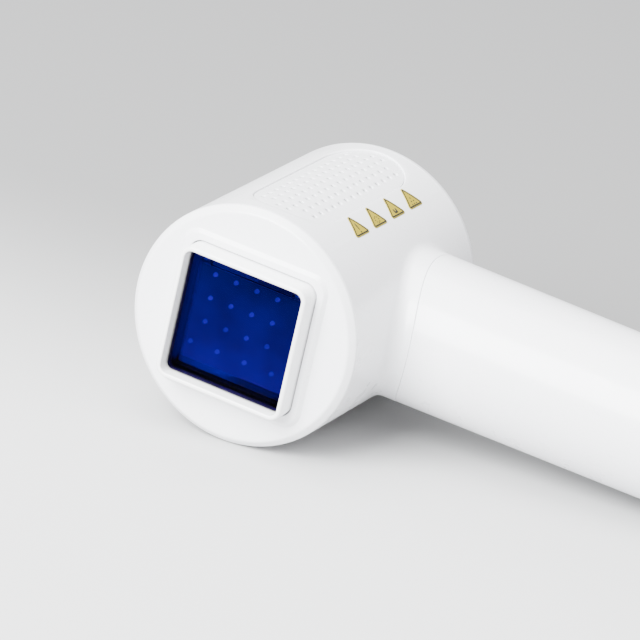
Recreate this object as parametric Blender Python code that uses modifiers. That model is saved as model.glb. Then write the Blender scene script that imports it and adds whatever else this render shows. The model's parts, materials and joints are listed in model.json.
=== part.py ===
"""Hand-held light hair remover: a round treatment head on a slim cross handle.

Working frame (the empty "device_frame"): +X runs from the head's axis along the handle,
+Y runs along the head from the treatment window to the rear cap, +Z is the head's upper side.
That frame leans until the head and the handle's end both rest on the floor, and is then moved
so that the whole object stands centred over the world's origin.
"""

from math import asin, atan2, cos, pi, radians, sin, sqrt

import bmesh
import bpy
from mathutils import Matrix, Vector

MM = 0.001
GAP = 0.3

# Head barrel
HEAD_RADIUS = 32.0
HEAD_WALL = 2.4
HEAD_INNER = HEAD_RADIUS - HEAD_WALL
SHELL_FRONT = 0.3
SHELL_REAR = 66.8
REAR_FACE = 71.9
REAR_ROUNDING = 5.0
SPIGOT_RADIUS = HEAD_INNER - 0.4
SPIGOT_WALL = 1.3
HEAD_STEPS = 60

# Treatment window on the front
CHAMFER = 2.1
COVER_FACE = -CHAMFER
COVER_BACK = -0.5
PEDESTAL_FOOT = 21.4
PEDESTAL_TOP = 20.2
PEDESTAL_FACE = -2.95
PEDESTAL_CORNER = 5.0
WINDOW_OPENING = 18.7
FRAME_OUTER = 18.4
FRAME_INNER = 17.1
FRAME_FACE = -8.5
FRAME_CORNER = 3.4
FRAME_EDGE = 0.6
FLANGE_HALF = 20.0
FLANGE_FRONT = COVER_BACK + GAP
FLANGE_BACK = FLANGE_FRONT + 1.1
FRAME_TRAVEL = 1.2
GLASS_HALF = FRAME_INNER - GAP
GLASS_FRONT = -5.5
GLASS_THICKNESS = 2.0
SEAL_FRONT = GLASS_FRONT + GLASS_THICKNESS + GAP
SEAL_BACK = SEAL_FRONT + 0.9
CHAMBER_HALF = 16.1
CHAMBER_WALL = 0.6
CHAMBER_FRONT = SEAL_BACK + GAP
CHAMBER_BACK = 8.0
BOARD_FRONT = 0.6
BOARD_THICKNESS = 1.6
EMITTER_ROWS = 4
EMITTER_PITCH_X = 6.1
EMITTER_WIDE_PITCH = 8.0
EMITTER_PITCH_Z = 6.6
EMITTER_MIDDLE = (-1.8, 0.3)
LENS_SHEET_LOW = (-15.5, -14.2)
LENS_SHEET_HIGH = (15.5, 11.8)
EMITTER_RADIUS = 0.9
EMITTER_HEIGHT = 1.4
FLASH_TUBE_RADIUS = 1.5
FLASH_TUBE_Z = 13.9
FLASH_TUBE_Y = -1.2
MOUNT_FRONT = FLANGE_BACK + FRAME_TRAVEL + 0.4
MOUNT_BACK = 8.5
SPRING_PLACE = 18.5
SPRING_TURNS = 3
SPRING_RADIUS = 1.0
SINK_FRONT = BOARD_FRONT + BOARD_THICKNESS + GAP
SINK_BASE_BACK = 7.0
SINK_BACK = 26.0
FIN_COUNT = 8
FIN_THICKNESS = 1.3

# Air vents on the head's upper and lower sides
VENT_CENTRE = 33.4
VENT_LENGTH = 60.0
VENT_HALF_WIDTH = 11.5
VENT_RIM = 1.4
RECESS_RADIUS = 30.7
GRILLE_INNER = RECESS_RADIUS + GAP
GRILLE_OUTER = 31.6
HOLE_PITCH = 3.55
HOLE_ROW_ANGLE = 5.5
HOLE_ROWS = 6
HOLE_COLUMNS = 14
HOLE_RADIUS = 0.7
HOLE_SIDES = 4
FILTER_OUTER = 30.4
FILTER_THICKNESS = 0.5

# Marker labels between the upper vent and the handle
LABEL_COUNT = 4
LABEL_PITCH = 10.2
LABEL_FIRST = 20.4
LABEL_SIDE = 8.0
LABEL_ANGLE = 29.0
LABEL_LIFT = 0.15
LABEL_THICKNESS = 0.2

# Cooling fan
FAN_HALF = 20.0
FAN_FRONT = 28.5
FAN_DEPTH = 10.0
FAN_BORE = 18.8
ROTOR_RADIUS = 18.2
HUB_RADIUS = 10.0
BLADES = 7
FAN_SCREW_PLACE = 16.0

# Rear controls
BUTTON_RADIUS = 6.0
BUTTON_PROUD = 0.6
BUTTON_TRAVEL = 0.8
LENS_COUNT = 5
LENS_RING = 15.0
LENS_RADIUS = 1.1
REAR_BOARD_FRONT = 59.5

# Handle
HANDLE_Y = 41.0
ROOT_RADIUS = 20.2
ROOT_X = 28.0
END_X = 140.0
END_RADIUS = 19.35
HANDLE_WALL = 2.0
HANDLE_STEPS = 44
FILLET = 3.5
SEAM_RADIUS = 36.8
NECK_SPIGOT = 17.7
NECK_BORE = 16.2
NECK_END = 46.0
SLEEVE_END = 136.2
END_ROUNDING = 1.5
WELL_RADIUS = 5.5
WELL_DEPTH = 5.0

# Flash button on the handle's rear side
FLASH_X = 57.0
FLASH_HALF_LENGTH = 6.5
FLASH_HALF_WIDTH = 4.2
FLASH_TRAVEL = 1.2
BEZEL_WIDTH = 1.8

PLASTIC = ("shell_white", (0.86, 0.86, 0.87, 1.0), 0.22, 0.0)
PLASTIC_INNER = ("moulding_grey", (0.55, 0.56, 0.58, 1.0), 0.5, 0.0)
GLASS = ("filter_glass_blue", (0.01, 0.02, 0.35, 1.0), 0.05, 0.0)
YELLOW = ("label_yellow", (0.80, 0.66, 0.15, 1.0), 0.4, 0.0)
RUBBER = ("seal_black", (0.03, 0.03, 0.03, 1.0), 0.8, 0.0)
ALUMINIUM = ("aluminium", (0.72, 0.73, 0.75, 1.0), 0.35, 1.0)
DARK_SHEET = ("dark_sheet", (0.03, 0.03, 0.035, 1.0), 0.45, 1.0)
STEEL = ("steel", (0.55, 0.55, 0.57, 1.0), 0.3, 1.0)
BRASS = ("brass", (0.75, 0.60, 0.28, 1.0), 0.3, 1.0)
BOARD = ("board_green", (0.03, 0.20, 0.10, 1.0), 0.5, 0.0)
BLACK = ("plastic_black", (0.03, 0.03, 0.035, 1.0), 0.45, 0.0)
COPPER = ("winding_copper", (0.70, 0.36, 0.18, 1.0), 0.35, 1.0)
LAMP = ("lamp_clear", (0.75, 0.82, 0.95, 1.0), 0.05, 0.0)
CAP_BLUE = ("capacitor_sleeve", (0.05, 0.10, 0.30, 1.0), 0.4, 0.0)
LEAD = ("lead_red", (0.55, 0.05, 0.05, 1.0), 0.5, 0.0)
FILTER = ("filter_mesh", (0.70, 0.70, 0.70, 1.0), 0.8, 0.0)


# ---------------------------------------------------------------- scene and small helpers

def clear_scene():
    for obj in list(bpy.data.objects):
        bpy.data.objects.remove(obj, do_unlink=True)


def collection(name):
    made = bpy.data.collections.new(name)
    bpy.context.scene.collection.children.link(made)
    return made


clear_scene()
PARTS = collection("ipl_hair_remover")
CUTTERS = collection("cutters")
DEVICE = bpy.data.objects.new("device_frame", None)
PARTS.objects.link(DEVICE)


def material(finish):
    name, colour, roughness, metallic = finish
    made = bpy.data.materials.new(name)
    made.use_nodes = True
    made.diffuse_color = colour
    shader = made.node_tree.nodes["Principled BSDF"]
    shader.inputs["Base Color"].default_value = colour
    shader.inputs["Roughness"].default_value = roughness
    shader.inputs["Metallic"].default_value = metallic
    return made


def place(name, mesh, finish=None):
    """Put a mesh in the device frame: a part if it has a finish, or else a cutter."""
    obj = bpy.data.objects.new(name, mesh)
    obj.parent = DEVICE
    if finish is None:
        CUTTERS.objects.link(obj)
        obj.hide_render = True
        obj.display_type = "WIRE"
    else:
        PARTS.objects.link(obj)
        mesh.materials.append(material(finish))
    return obj


def from_bmesh(name, bm, finish=None):
    mesh = bpy.data.meshes.new(name)
    bm.to_mesh(mesh)
    bm.free()
    mesh.transform(Matrix.Scale(MM, 4))
    return place(name, mesh, finish)


def combine(obj, other, operation):
    step = obj.modifiers.new(f"{operation.lower()}_{other.name}", "BOOLEAN")
    step.operation = operation
    step.object = other
    return obj


def cut(obj, cutter):
    return combine(obj, cutter, "DIFFERENCE")


def join(obj, other):
    return combine(obj, other, "UNION")


def smooth(obj):
    obj.data.shade_smooth()
    obj.data.set_sharp_from_angle(angle=radians(35))
    return obj


def set_origin(obj, point):
    """Move the object's origin to a point of the device frame, its shape staying in place."""
    offset = Vector(point) * MM
    turned_back = obj.matrix_basis.to_3x3().inverted() @ offset
    obj.data.transform(Matrix.Translation(-turned_back))
    obj.location = offset
    return obj


AXIS_TURN = {
    "X": Matrix.Rotation(pi / 2, 4, "Y"),
    "Y": Matrix.Rotation(-pi / 2, 4, "X"),
    "Z": Matrix.Identity(4),
}


def turned(name, profile, axis, steps, centre=(0, 0, 0), finish=None):
    """Turn (radius, height) points about an axis; the heights run along that axis.

    The points start at the top and run down the outer side. A profile that leaves the axis
    and returns to it makes a solid; any other profile closes on itself and makes a ring.
    """
    bm = bmesh.new()
    points = [bm.verts.new((radius, 0, height)) for radius, height in profile]
    for first, second in zip(points, points[1:]):
        bm.edges.new((first, second))
    if profile[0][0] > 0:
        bm.edges.new((points[-1], points[0]))
    obj = from_bmesh(name, bm, finish)
    obj.matrix_basis = Matrix.Translation(Vector(centre) * MM) @ AXIS_TURN[axis]
    screw = obj.modifiers.new("turn", "SCREW")
    screw.steps = steps
    screw.render_steps = steps
    screw.use_merge_vertices = True
    screw.merge_threshold = 0.00001
    screw.use_smooth_shade = False
    return obj


def arc(centre, radius, start, end, count):
    """Points of a profile's arc, by angles in degrees from the outward direction."""
    turns = [radians(start + (end - start) * i / count) for i in range(count + 1)]
    return [(centre[0] + radius * cos(a), centre[1] + radius * sin(a)) for a in turns]


def add_box(bm, low, high):
    size = Vector(high) - Vector(low)
    middle = (Vector(high) + Vector(low)) / 2
    bmesh.ops.create_cube(bm, size=1, matrix=Matrix.Translation(middle) @ Matrix.Diagonal((*size, 1)))


def add_rod(bm, centre, radius, length, axis, sides, tip_radius=None):
    matrix = Matrix.Translation(centre) @ AXIS_TURN[axis]
    tip = radius if tip_radius is None else tip_radius
    bmesh.ops.create_cone(bm, cap_ends=True, segments=sides, radius1=radius, radius2=tip,
                          depth=length, matrix=matrix)


def box(name, low, high, finish=None):
    bm = bmesh.new()
    add_box(bm, low, high)
    return from_bmesh(name, bm, finish)


def rod(name, centre, radius, length, axis, sides, finish=None):
    bm = bmesh.new()
    add_rod(bm, centre, radius, length, axis, sides)
    return from_bmesh(name, bm, finish)


def rounded_prism(name, half_a, half_b, low, high, corner, finish=None, centre=(0, 0, 0),
                  front_scale=1.0, edge=0.0, segments=4):
    """A prism along Y with a rounded rectangular outline, front_scale narrowing its -Y face."""
    bm = bmesh.new()
    add_box(bm, (-half_a, low, -half_b), (half_a, high, half_b))
    upright = [e for e in bm.edges if abs(e.verts[0].co.y - e.verts[1].co.y) > (high - low) / 2]
    bmesh.ops.bevel(bm, geom=upright, offset=corner, segments=segments, affect="EDGES", profile=0.5)
    front = [v for v in bm.verts if abs(v.co.y - low) < 1e-4]
    bmesh.ops.scale(bm, verts=front, vec=(front_scale, 1, front_scale))
    if edge:
        rim = [e for e in bm.edges if all(abs(v.co.y - low) < 1e-4 for v in e.verts)]
        bmesh.ops.bevel(bm, geom=rim, offset=edge, segments=2, affect="EDGES", profile=0.5)
    bmesh.ops.translate(bm, verts=bm.verts, vec=centre)
    return from_bmesh(name, bm, finish)


def stadium_prism(name, half_width, length, low, high):
    """A prism along Z whose outline has half-round ends, long along Y."""
    bm = bmesh.new()
    reach = length / 2 - half_width
    for side in (-1, 1):
        for step in range(17):
            a = side * pi / 2 + pi * (step / 16 - 0.5)
            bm.verts.new((half_width * cos(a), VENT_CENTRE + side * reach + half_width * sin(a), low))
    bm.verts.ensure_lookup_table()
    base = bm.faces.new(bm.verts[:])
    base.normal_flip()
    raised = bmesh.ops.extrude_face_region(bm, geom=[base])["geom"]
    bmesh.ops.translate(bm, verts=[v for v in raised if isinstance(v, bmesh.types.BMVert)],
                        vec=(0, 0, high - low))
    bmesh.ops.recalc_face_normals(bm, faces=bm.faces)
    return from_bmesh(name, bm)


def wire(name, points, radius, finish, sides=1):
    """A round wire along a list of points, which lie close together."""
    curve = bpy.data.curves.new(name, "CURVE")
    curve.dimensions = "3D"
    curve.bevel_depth = radius * MM
    curve.bevel_resolution = sides
    curve.use_fill_caps = True
    spline = curve.splines.new("POLY")
    spline.points.add(len(points) - 1)
    for target, point in zip(spline.points, points):
        target.co = (*(Vector(point) * MM), 1)
    obj = bpy.data.objects.new(name, curve)
    obj.parent = DEVICE
    PARTS.objects.link(obj)
    curve.materials.append(material(finish))
    return obj


def smooth_route(points, steps):
    """Read a Catmull-Rom curve at even steps between its points."""
    ends = [points[0] * 2 - points[1], *points, points[-1] * 2 - points[-2]]
    made = []
    for a, b, c, d in zip(ends, ends[1:], ends[2:], ends[3:]):
        for i in range(steps):
            t = i / steps
            made.append(0.5 * (2 * b + (c - a) * t + (2 * a - 5 * b + 4 * c - d) * t ** 2
                               + (3 * b - a - 3 * c + d) * t ** 3))
    return [*made, points[-1]]


def handle_radius(x):
    return ROOT_RADIUS + (END_RADIUS - ROOT_RADIUS) * (x - ROOT_X) / (END_X - ROOT_X)


# ---------------------------------------------------------------- head casing

def neck_point(theta, blend):
    """A point of the fillet ball's path: blend 0 on the head, 1 on the handle."""
    reach = ROOT_RADIUS + FILLET
    centre = Vector((sqrt((HEAD_RADIUS + FILLET) ** 2 - (reach * sin(theta)) ** 2),
                     HANDLE_Y + reach * cos(theta), reach * sin(theta)))
    to_head = Vector((-centre.x, 0, -centre.z)).normalized()
    to_handle = Vector((0, -cos(theta), -sin(theta)))
    return centre + FILLET * to_head.slerp(to_handle, blend)


def seam_point(theta, radius, reach):
    """A point of the round saddle line at a distance from the head's axis."""
    z = radius * sin(theta)
    return Vector((sqrt(reach ** 2 - z ** 2), HANDLE_Y + radius * cos(theta), z))


def ring_point(theta, radius, x):
    return Vector((x, HANDLE_Y + radius * cos(theta), radius * sin(theta)))


def neck_rings(theta):
    """The neck's section at one angle about the handle: the outside, then back inside."""
    head = neck_point(theta, 0)
    shrink = (HEAD_RADIUS - 1.2) / HEAD_RADIUS
    outside = [Vector((head.x * shrink, head.y, head.z * shrink))]
    outside += [neck_point(theta, step / 4) for step in range(5)]
    outside.append(seam_point(theta, ROOT_RADIUS, SEAM_RADIUS))
    spigot = [seam_point(theta, NECK_SPIGOT, SEAM_RADIUS), ring_point(theta, NECK_SPIGOT, NECK_END),
              ring_point(theta, NECK_BORE, NECK_END), seam_point(theta, NECK_BORE, HEAD_RADIUS - 1.2)]
    return outside + spigot


def neck():
    """The loft from the head's round side to the handle's round root."""
    bm = bmesh.new()
    sections = []
    for step in range(HANDLE_STEPS):
        sections.append([bm.verts.new(p) for p in neck_rings(2 * pi * step / HANDLE_STEPS)])
    for one, other in zip(sections, sections[1:] + sections[:1]):
        for i in range(len(one)):
            j = (i + 1) % len(one)
            bm.faces.new((one[i], one[j], other[j], other[i]))
    bmesh.ops.recalc_face_normals(bm, faces=bm.faces)
    return from_bmesh("neck_loft", bm)


def vent_recess(name, low, high):
    """The shallow stadium pocket that a grille lies in, open outwards."""
    pocket = stadium_prism(name, VENT_HALF_WIDTH, VENT_LENGTH, low, high)
    core = turned(f"{name}_core", [(0, 80), (RECESS_RADIUS, 80), (RECESS_RADIUS, -10), (0, -10)],
                  "Y", HEAD_STEPS * 2)
    return cut(pocket, core)


def barrel_shell():
    shell = turned("barrel_shell", [(HEAD_RADIUS, SHELL_REAR), (HEAD_RADIUS, SHELL_FRONT),
                                    (HEAD_INNER, SHELL_FRONT), (HEAD_INNER, SHELL_REAR)],
                   "Y", HEAD_STEPS, finish=PLASTIC)
    cut(shell, rod("handle_hole", (30, HANDLE_Y, 0), 18.6, 20, "X", HANDLE_STEPS))
    join(shell, neck())
    window_length = VENT_LENGTH - 2 * VENT_RIM
    window_width = VENT_HALF_WIDTH - VENT_RIM
    for side, low, high in (("upper", 20, 40), ("lower", -40, -20)):
        cut(shell, vent_recess(f"{side}_recess", low, high))
        cut(shell, stadium_prism(f"{side}_window", window_width, window_length, low, high))
    return smooth(shell)


def hole_cutter(name, side):
    """All the holes of one grille, each pointing at the head's axis."""
    bm = bmesh.new()
    for row in range(HOLE_ROWS):
        angle = (row - (HOLE_ROWS - 1) / 2) * HOLE_ROW_ANGLE
        extra = 1 if abs(angle) < HOLE_ROW_ANGLE else 0
        for column in range(-extra, HOLE_COLUMNS + extra):
            y = VENT_CENTRE + (column - (HOLE_COLUMNS - 1) / 2) * HOLE_PITCH
            turn = Matrix.Rotation(radians(angle), 4, "Y")
            matrix = turn @ Matrix.Translation((0, y, side * (GRILLE_INNER + GRILLE_OUTER) / 2))
            bmesh.ops.create_cone(bm, cap_ends=True, segments=HOLE_SIDES, radius1=HOLE_RADIUS,
                                  radius2=HOLE_RADIUS, depth=3, matrix=matrix)
    return from_bmesh(name, bm)


def vent_grille(side_name, side):
    """A thin perforated plate, curved with the head, lying in its recess."""
    profile = [(GRILLE_OUTER, 70), (GRILLE_OUTER, 0), (GRILLE_INNER, 0), (GRILLE_INNER, 70)]
    grille = turned(f"vent_grille_{side_name}", profile, "Y", HEAD_STEPS, finish=PLASTIC)
    low, high = (20, 40) if side > 0 else (-40, -20)
    outline = stadium_prism(f"grille_outline_{side_name}", VENT_HALF_WIDTH - GAP,
                            VENT_LENGTH - 2 * GAP, low, high)
    combine(grille, outline, "INTERSECT")
    return cut(grille, hole_cutter(f"grille_holes_{side_name}", side))


def dust_filter(side_name, side):
    """A fine pale mesh sheet in the shell's window, right behind a grille."""
    inner = FILTER_OUTER - FILTER_THICKNESS
    profile = [(FILTER_OUTER, 70), (FILTER_OUTER, 0), (inner, 0), (inner, 70)]
    sheet = turned(f"dust_filter_{side_name}", profile, "Y", HEAD_STEPS, finish=FILTER)
    low, high = (20, 40) if side > 0 else (-40, -20)
    outline = stadium_prism(f"filter_outline_{side_name}", VENT_HALF_WIDTH - VENT_RIM - GAP,
                            VENT_LENGTH - 2 * (VENT_RIM + GAP), low, high)
    return combine(sheet, outline, "INTERSECT")


def front_cover():
    spigot_inner = SPIGOT_RADIUS - SPIGOT_WALL
    profile = [(0, COVER_BACK), (spigot_inner, COVER_BACK), (spigot_inner, 6), (SPIGOT_RADIUS, 6),
               (SPIGOT_RADIUS, 0), (HEAD_RADIUS, 0), (HEAD_RADIUS - CHAMFER, COVER_FACE), (0, COVER_FACE)]
    cover = turned("front_cover", profile, "Y", HEAD_STEPS, finish=PLASTIC)
    pedestal = rounded_prism("pedestal", PEDESTAL_FOOT, PEDESTAL_FOOT, PEDESTAL_FACE, COVER_FACE + 0.6,
                             PEDESTAL_CORNER, front_scale=PEDESTAL_TOP / PEDESTAL_FOOT)
    opening = rounded_prism("window_opening", WINDOW_OPENING, WINDOW_OPENING, -6, 3, FRAME_CORNER + GAP)
    join(cover, pedestal)
    return cut(cover, opening)


def lens_places():
    """The level lamps' places on an arc above the power button."""
    for index in range(LENS_COUNT):
        angle = radians(90 + 22 * (index - (LENS_COUNT - 1) / 2))
        yield LENS_RING * cos(angle), LENS_RING * sin(angle)


def rear_cap():
    spigot_inner = SPIGOT_RADIUS - SPIGOT_WALL
    inside = REAR_FACE - 2
    rounding = arc((HEAD_RADIUS - REAR_ROUNDING, REAR_FACE - REAR_ROUNDING), REAR_ROUNDING, 90, 3, 5)
    profile = [(0, REAR_FACE), *rounding, (HEAD_RADIUS, SHELL_REAR + GAP), (SPIGOT_RADIUS, SHELL_REAR + GAP),
               (SPIGOT_RADIUS, 61), (spigot_inner, 61), (spigot_inner, inside - 2),
               (spigot_inner - 2, inside), (0, inside)]
    cap = turned("rear_cap", profile, "Y", HEAD_STEPS, finish=PLASTIC)
    bm = bmesh.new()
    add_rod(bm, (0, REAR_FACE, 0), BUTTON_RADIUS + GAP, 10, "Y", 28)
    for x, z in lens_places():
        add_rod(bm, (x, REAR_FACE, z), LENS_RADIUS + GAP, 10, "Y", 10)
    cut(cap, from_bmesh("rear_cap_holes", bm))
    return smooth(cap)


def marker_label(index):
    """A small triangular label, bent round the head, its tip towards the vent."""
    bm = bmesh.new()
    height = LABEL_SIDE * sqrt(3) / 2
    middle = LABEL_FIRST + index * LABEL_PITCH
    corners = [(-height / 2, 0), (0, -LABEL_SIDE / 4), (height / 2, -LABEL_SIDE / 2),
               (height / 2, LABEL_SIDE / 2), (0, LABEL_SIDE / 4)]
    rings = []
    for radius in (HEAD_RADIUS + LABEL_LIFT, HEAD_RADIUS + LABEL_LIFT + LABEL_THICKNESS):
        ring = []
        for down, along in corners:
            angle = radians(LABEL_ANGLE) + down / HEAD_RADIUS
            ring.append(bm.verts.new((radius * sin(angle), middle + along, radius * cos(angle))))
        bm.faces.new((ring[0], ring[1], ring[4]))
        bm.faces.new((ring[1], ring[2], ring[3], ring[4]))
        rings.append(ring)
    for i in range(5):
        j = (i + 1) % 5
        bm.faces.new((rings[0][i], rings[0][j], rings[1][j], rings[1][i]))
    bmesh.ops.recalc_face_normals(bm, faces=bm.faces)
    return from_bmesh(f"marker_label_{index + 1}", bm, YELLOW)


# ---------------------------------------------------------------- treatment window

def switch_places():
    return [(0, side * 22.0) for side in (-1, 1)]


def contact_frame():
    """The white skin-contact frame: it sinks a little when it is pressed on the skin."""
    frame = rounded_prism("contact_frame", FRAME_OUTER, FRAME_OUTER, FRAME_FACE, FLANGE_BACK,
                          FRAME_CORNER, PLASTIC, edge=FRAME_EDGE)
    flange = rounded_prism("frame_flange", FLANGE_HALF, FLANGE_HALF, FLANGE_FRONT, FLANGE_BACK, 1.2)
    tabs = box("frame_tabs", (-3.5, FLANGE_FRONT, -23.5), (3.5, FLANGE_BACK, 23.5))
    inside = rounded_prism("frame_inside", FRAME_INNER, FRAME_INNER, FRAME_FACE - 2, FLANGE_BACK + 2,
                           FRAME_CORNER - 1.3)
    join(frame, flange)
    join(frame, tabs)
    cut(frame, inside)
    return set_origin(frame, (0, FRAME_FACE, 0))


def corner_places(reach):
    return [(x, z) for x in (-reach, reach) for z in (-reach, reach)]


def frame_spring(number, x, z):
    """A small coil spring behind one corner of the contact frame."""
    low, high = FLANGE_BACK + 2 * GAP, MOUNT_BACK - 2.6
    count = SPRING_TURNS * 7
    coil = []
    for i in range(count + 1):
        turn = 2 * pi * SPRING_TURNS * i / count
        coil.append((x + SPRING_RADIUS * cos(turn), low + (high - low) * i / count,
                     z + SPRING_RADIUS * sin(turn)))
    return wire(f"frame_spring_{number}", coil, 0.22, STEEL, sides=0)


def square_ring(name, outer, inner, low, high, corner, finish):
    ring = rounded_prism(name, outer, outer, low, high, corner, finish)
    return cut(ring, rounded_prism(f"{name}_inside", inner, inner, low - 1, high + 1,
                                   max(corner - (outer - inner), 0.4)))


def lamp_mount():
    """The moulded carrier of the lamp chamber, with wells for the frame's springs."""
    radius = SPIGOT_RADIUS - SPIGOT_WALL - 0.4
    profile = [(0, MOUNT_BACK), (radius, MOUNT_BACK), (radius, MOUNT_FRONT), (0, MOUNT_FRONT)]
    mount = turned("lamp_mount", profile, "Y", HEAD_STEPS, finish=PLASTIC_INNER)
    hole = CHAMBER_HALF + CHAMBER_WALL + GAP
    cut(mount, rounded_prism("chamber_hole", hole, hole, 0, 12, 0.6, segments=1))
    bm = bmesh.new()
    depth = MOUNT_BACK - 2.3
    for x, z in corner_places(SPRING_PLACE):
        add_rod(bm, (x, depth / 2, z), 1.35, depth, "Y", 12)
    cut(mount, from_bmesh("spring_wells", bm))
    bm = bmesh.new()
    for x, z in switch_places():
        add_box(bm, (x - 3.6, 0, z - 2.4), (x + 3.6, 7, z + 2.4))
    return cut(mount, from_bmesh("switch_pockets", bm))


def contact_switch(number, x, z):
    """A small switch that senses the pressed frame, with its plunger."""
    low, high = (x - 3.2, MOUNT_FRONT + 0.9, z - 2.0), (x + 3.2, 6.6, z + 2.0)
    body = box(f"contact_switch_{number}", low, high, BLACK)
    return join(body, rod(f"switch_plunger_{number}", (x, MOUNT_FRONT + 1.0, z), 0.8, 2.0, "Y", 8))


def emitter_places():
    """The emitters' places; the lowest row is spread wider than the others."""
    middle_x, middle_z = EMITTER_MIDDLE
    for row in range(EMITTER_ROWS):
        pitch = EMITTER_PITCH_X if row else EMITTER_WIDE_PITCH
        for column in range(EMITTER_ROWS):
            yield middle_x + (column - 1.5) * pitch, middle_z + (row - 1.5) * EMITTER_PITCH_Z


def emitter_array():
    """The clear lens sheet of the emitter board, with one small dome over each emitter."""
    sheet_back = BOARD_FRONT - GAP
    low = (LENS_SHEET_LOW[0], sheet_back - 0.4, LENS_SHEET_LOW[1])
    high = (LENS_SHEET_HIGH[0], sheet_back, LENS_SHEET_HIGH[1])
    sheet = box("emitter_array", low, high, LAMP)
    bm = bmesh.new()
    for x, z in emitter_places():
        middle = (x, sheet_back - 0.1 - EMITTER_HEIGHT / 2, z)
        add_rod(bm, middle, EMITTER_RADIUS * 0.5, EMITTER_HEIGHT, "Y", 8, EMITTER_RADIUS)
    return join(sheet, from_bmesh("emitter_domes", bm))


def heat_sink():
    """A finned block, extruded from its comb outline."""
    half = CHAMBER_HALF - GAP
    pitch = (2 * half - FIN_THICKNESS) / (FIN_COUNT - 1)
    outline = [(-half, SINK_FRONT), (half, SINK_FRONT)]
    for fin in reversed(range(FIN_COUNT)):
        left = -half + fin * pitch
        right = left + FIN_THICKNESS
        outline += [(right, SINK_BASE_BACK)] if fin < FIN_COUNT - 1 else []
        outline += [(right, SINK_BACK), (left, SINK_BACK)]
        outline += [(left, SINK_BASE_BACK)] if fin > 0 else []
    bm = bmesh.new()
    face = bm.faces.new([bm.verts.new((x, y, -half)) for x, y in outline])
    raised = bmesh.ops.extrude_face_region(bm, geom=[face])["geom"]
    bmesh.ops.translate(bm, verts=[v for v in raised if isinstance(v, bmesh.types.BMVert)],
                        vec=(0, 0, 2 * half))
    bmesh.ops.recalc_face_normals(bm, faces=bm.faces)
    sink = from_bmesh("heat_sink", bm, ALUMINIUM)
    bm = bmesh.new()
    for x in (-half, half):
        add_rod(bm, (x, 14, half), 1.5, 34, "Y", 10)
    return cut(sink, from_bmesh("sink_lead_notches", bm))


def treatment_window():
    contact_frame()
    for number, (x, z) in enumerate(corner_places(SPRING_PLACE), 1):
        frame_spring(number, x, z)
    glass_back = GLASS_FRONT + GLASS_THICKNESS
    rounded_prism("filter_glass", GLASS_HALF, GLASS_HALF, GLASS_FRONT, glass_back, 1.8, GLASS)
    square_ring("window_seal", GLASS_HALF, GLASS_HALF - 1.1, SEAL_FRONT, SEAL_BACK, 1.8, RUBBER)
    square_ring("chamber_liner", CHAMBER_HALF + CHAMBER_WALL, CHAMBER_HALF, CHAMBER_FRONT, CHAMBER_BACK,
                1.0, DARK_SHEET)
    rounded_prism("emitter_board", CHAMBER_HALF - GAP, CHAMBER_HALF - GAP, BOARD_FRONT,
                  BOARD_FRONT + BOARD_THICKNESS, 2.4, BOARD, segments=1)
    emitter_array()
    rod("flash_tube", (0, FLASH_TUBE_Y, FLASH_TUBE_Z), FLASH_TUBE_RADIUS, 24, "X", 12, LAMP)
    for side, side_name in ((1, "near"), (-1, "far")):
        end = (side * 13.8, FLASH_TUBE_Y, FLASH_TUBE_Z)
        rod(f"tube_electrode_{side_name}", end, 1.1, 2.6, "X", 10, STEEL)
    lamp_mount()
    for number, (x, z) in enumerate(switch_places(), 1):
        contact_switch(number, x, z)
    heat_sink()


# ---------------------------------------------------------------- fan and rear controls

def fan_housing():
    """The square fan frame with its round duct, motor base and four struts."""
    back = FAN_FRONT + FAN_DEPTH
    housing = rounded_prism("fan_housing", FAN_HALF, FAN_HALF, FAN_FRONT, back, 3.0, BLACK)
    cut(housing, rod("fan_duct", (0, FAN_FRONT + FAN_DEPTH / 2, 0), FAN_BORE, FAN_DEPTH + 2, "Y", 32))
    base = rod("motor_base", (0, back - 0.7, 0), 8.6, 1.2, "Y", 20)
    reach = FAN_BORE + 0.5
    join(base, box("strut_across", (-reach, back - 1.3, -1.2), (reach, back - 0.1, 1.2)))
    join(base, box("strut_upright", (-1.2, back - 1.35, -reach), (1.2, back - 0.15, reach)))
    join(housing, base)
    bm = bmesh.new()
    for x, z in corner_places(FAN_SCREW_PLACE):
        add_rod(bm, (x, FAN_FRONT + FAN_DEPTH / 2, z), 1.75, FAN_DEPTH + 4, "Y", 10)
    return cut(housing, from_bmesh("fan_screw_holes", bm))


def fan_rotor():
    """The hub cup with its shaft and pitched blades."""
    front, back = FAN_FRONT + 0.6, FAN_FRONT + FAN_DEPTH - 1.2 - 0.6
    profile = [(0, front + 1.5), (HUB_RADIUS - 1.5, front + 1.5), (HUB_RADIUS - 1.5, back),
               (HUB_RADIUS, back), (HUB_RADIUS, front), (0, front)]
    rotor = turned("fan_rotor", profile, "Y", 28, finish=BLACK)
    bm = bmesh.new()
    length = ROTOR_RADIUS - HUB_RADIUS + 0.7
    for blade in range(BLADES):
        turn = Matrix.Rotation(2 * pi * blade / BLADES, 4, "Y")
        pitch = Matrix.Rotation(radians(50), 4, "X")
        shift = Matrix.Translation((HUB_RADIUS - 0.7 + length / 2, (front + back) / 2, 0))
        matrix = turn @ shift @ pitch @ Matrix.Diagonal((length, 7.2, 0.9, 1))
        bmesh.ops.create_cube(bm, size=1, matrix=matrix)
    join(rotor, from_bmesh("fan_blades", bm))
    shaft_front, shaft_back = front + 1, back - 0.6
    shaft_middle = (0, (shaft_front + shaft_back) / 2, 0)
    join(rotor, rod("fan_shaft", shaft_middle, 0.8, shaft_back - shaft_front, "Y", 10))
    return set_origin(rotor, (0, (front + back) / 2, 0))


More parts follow.
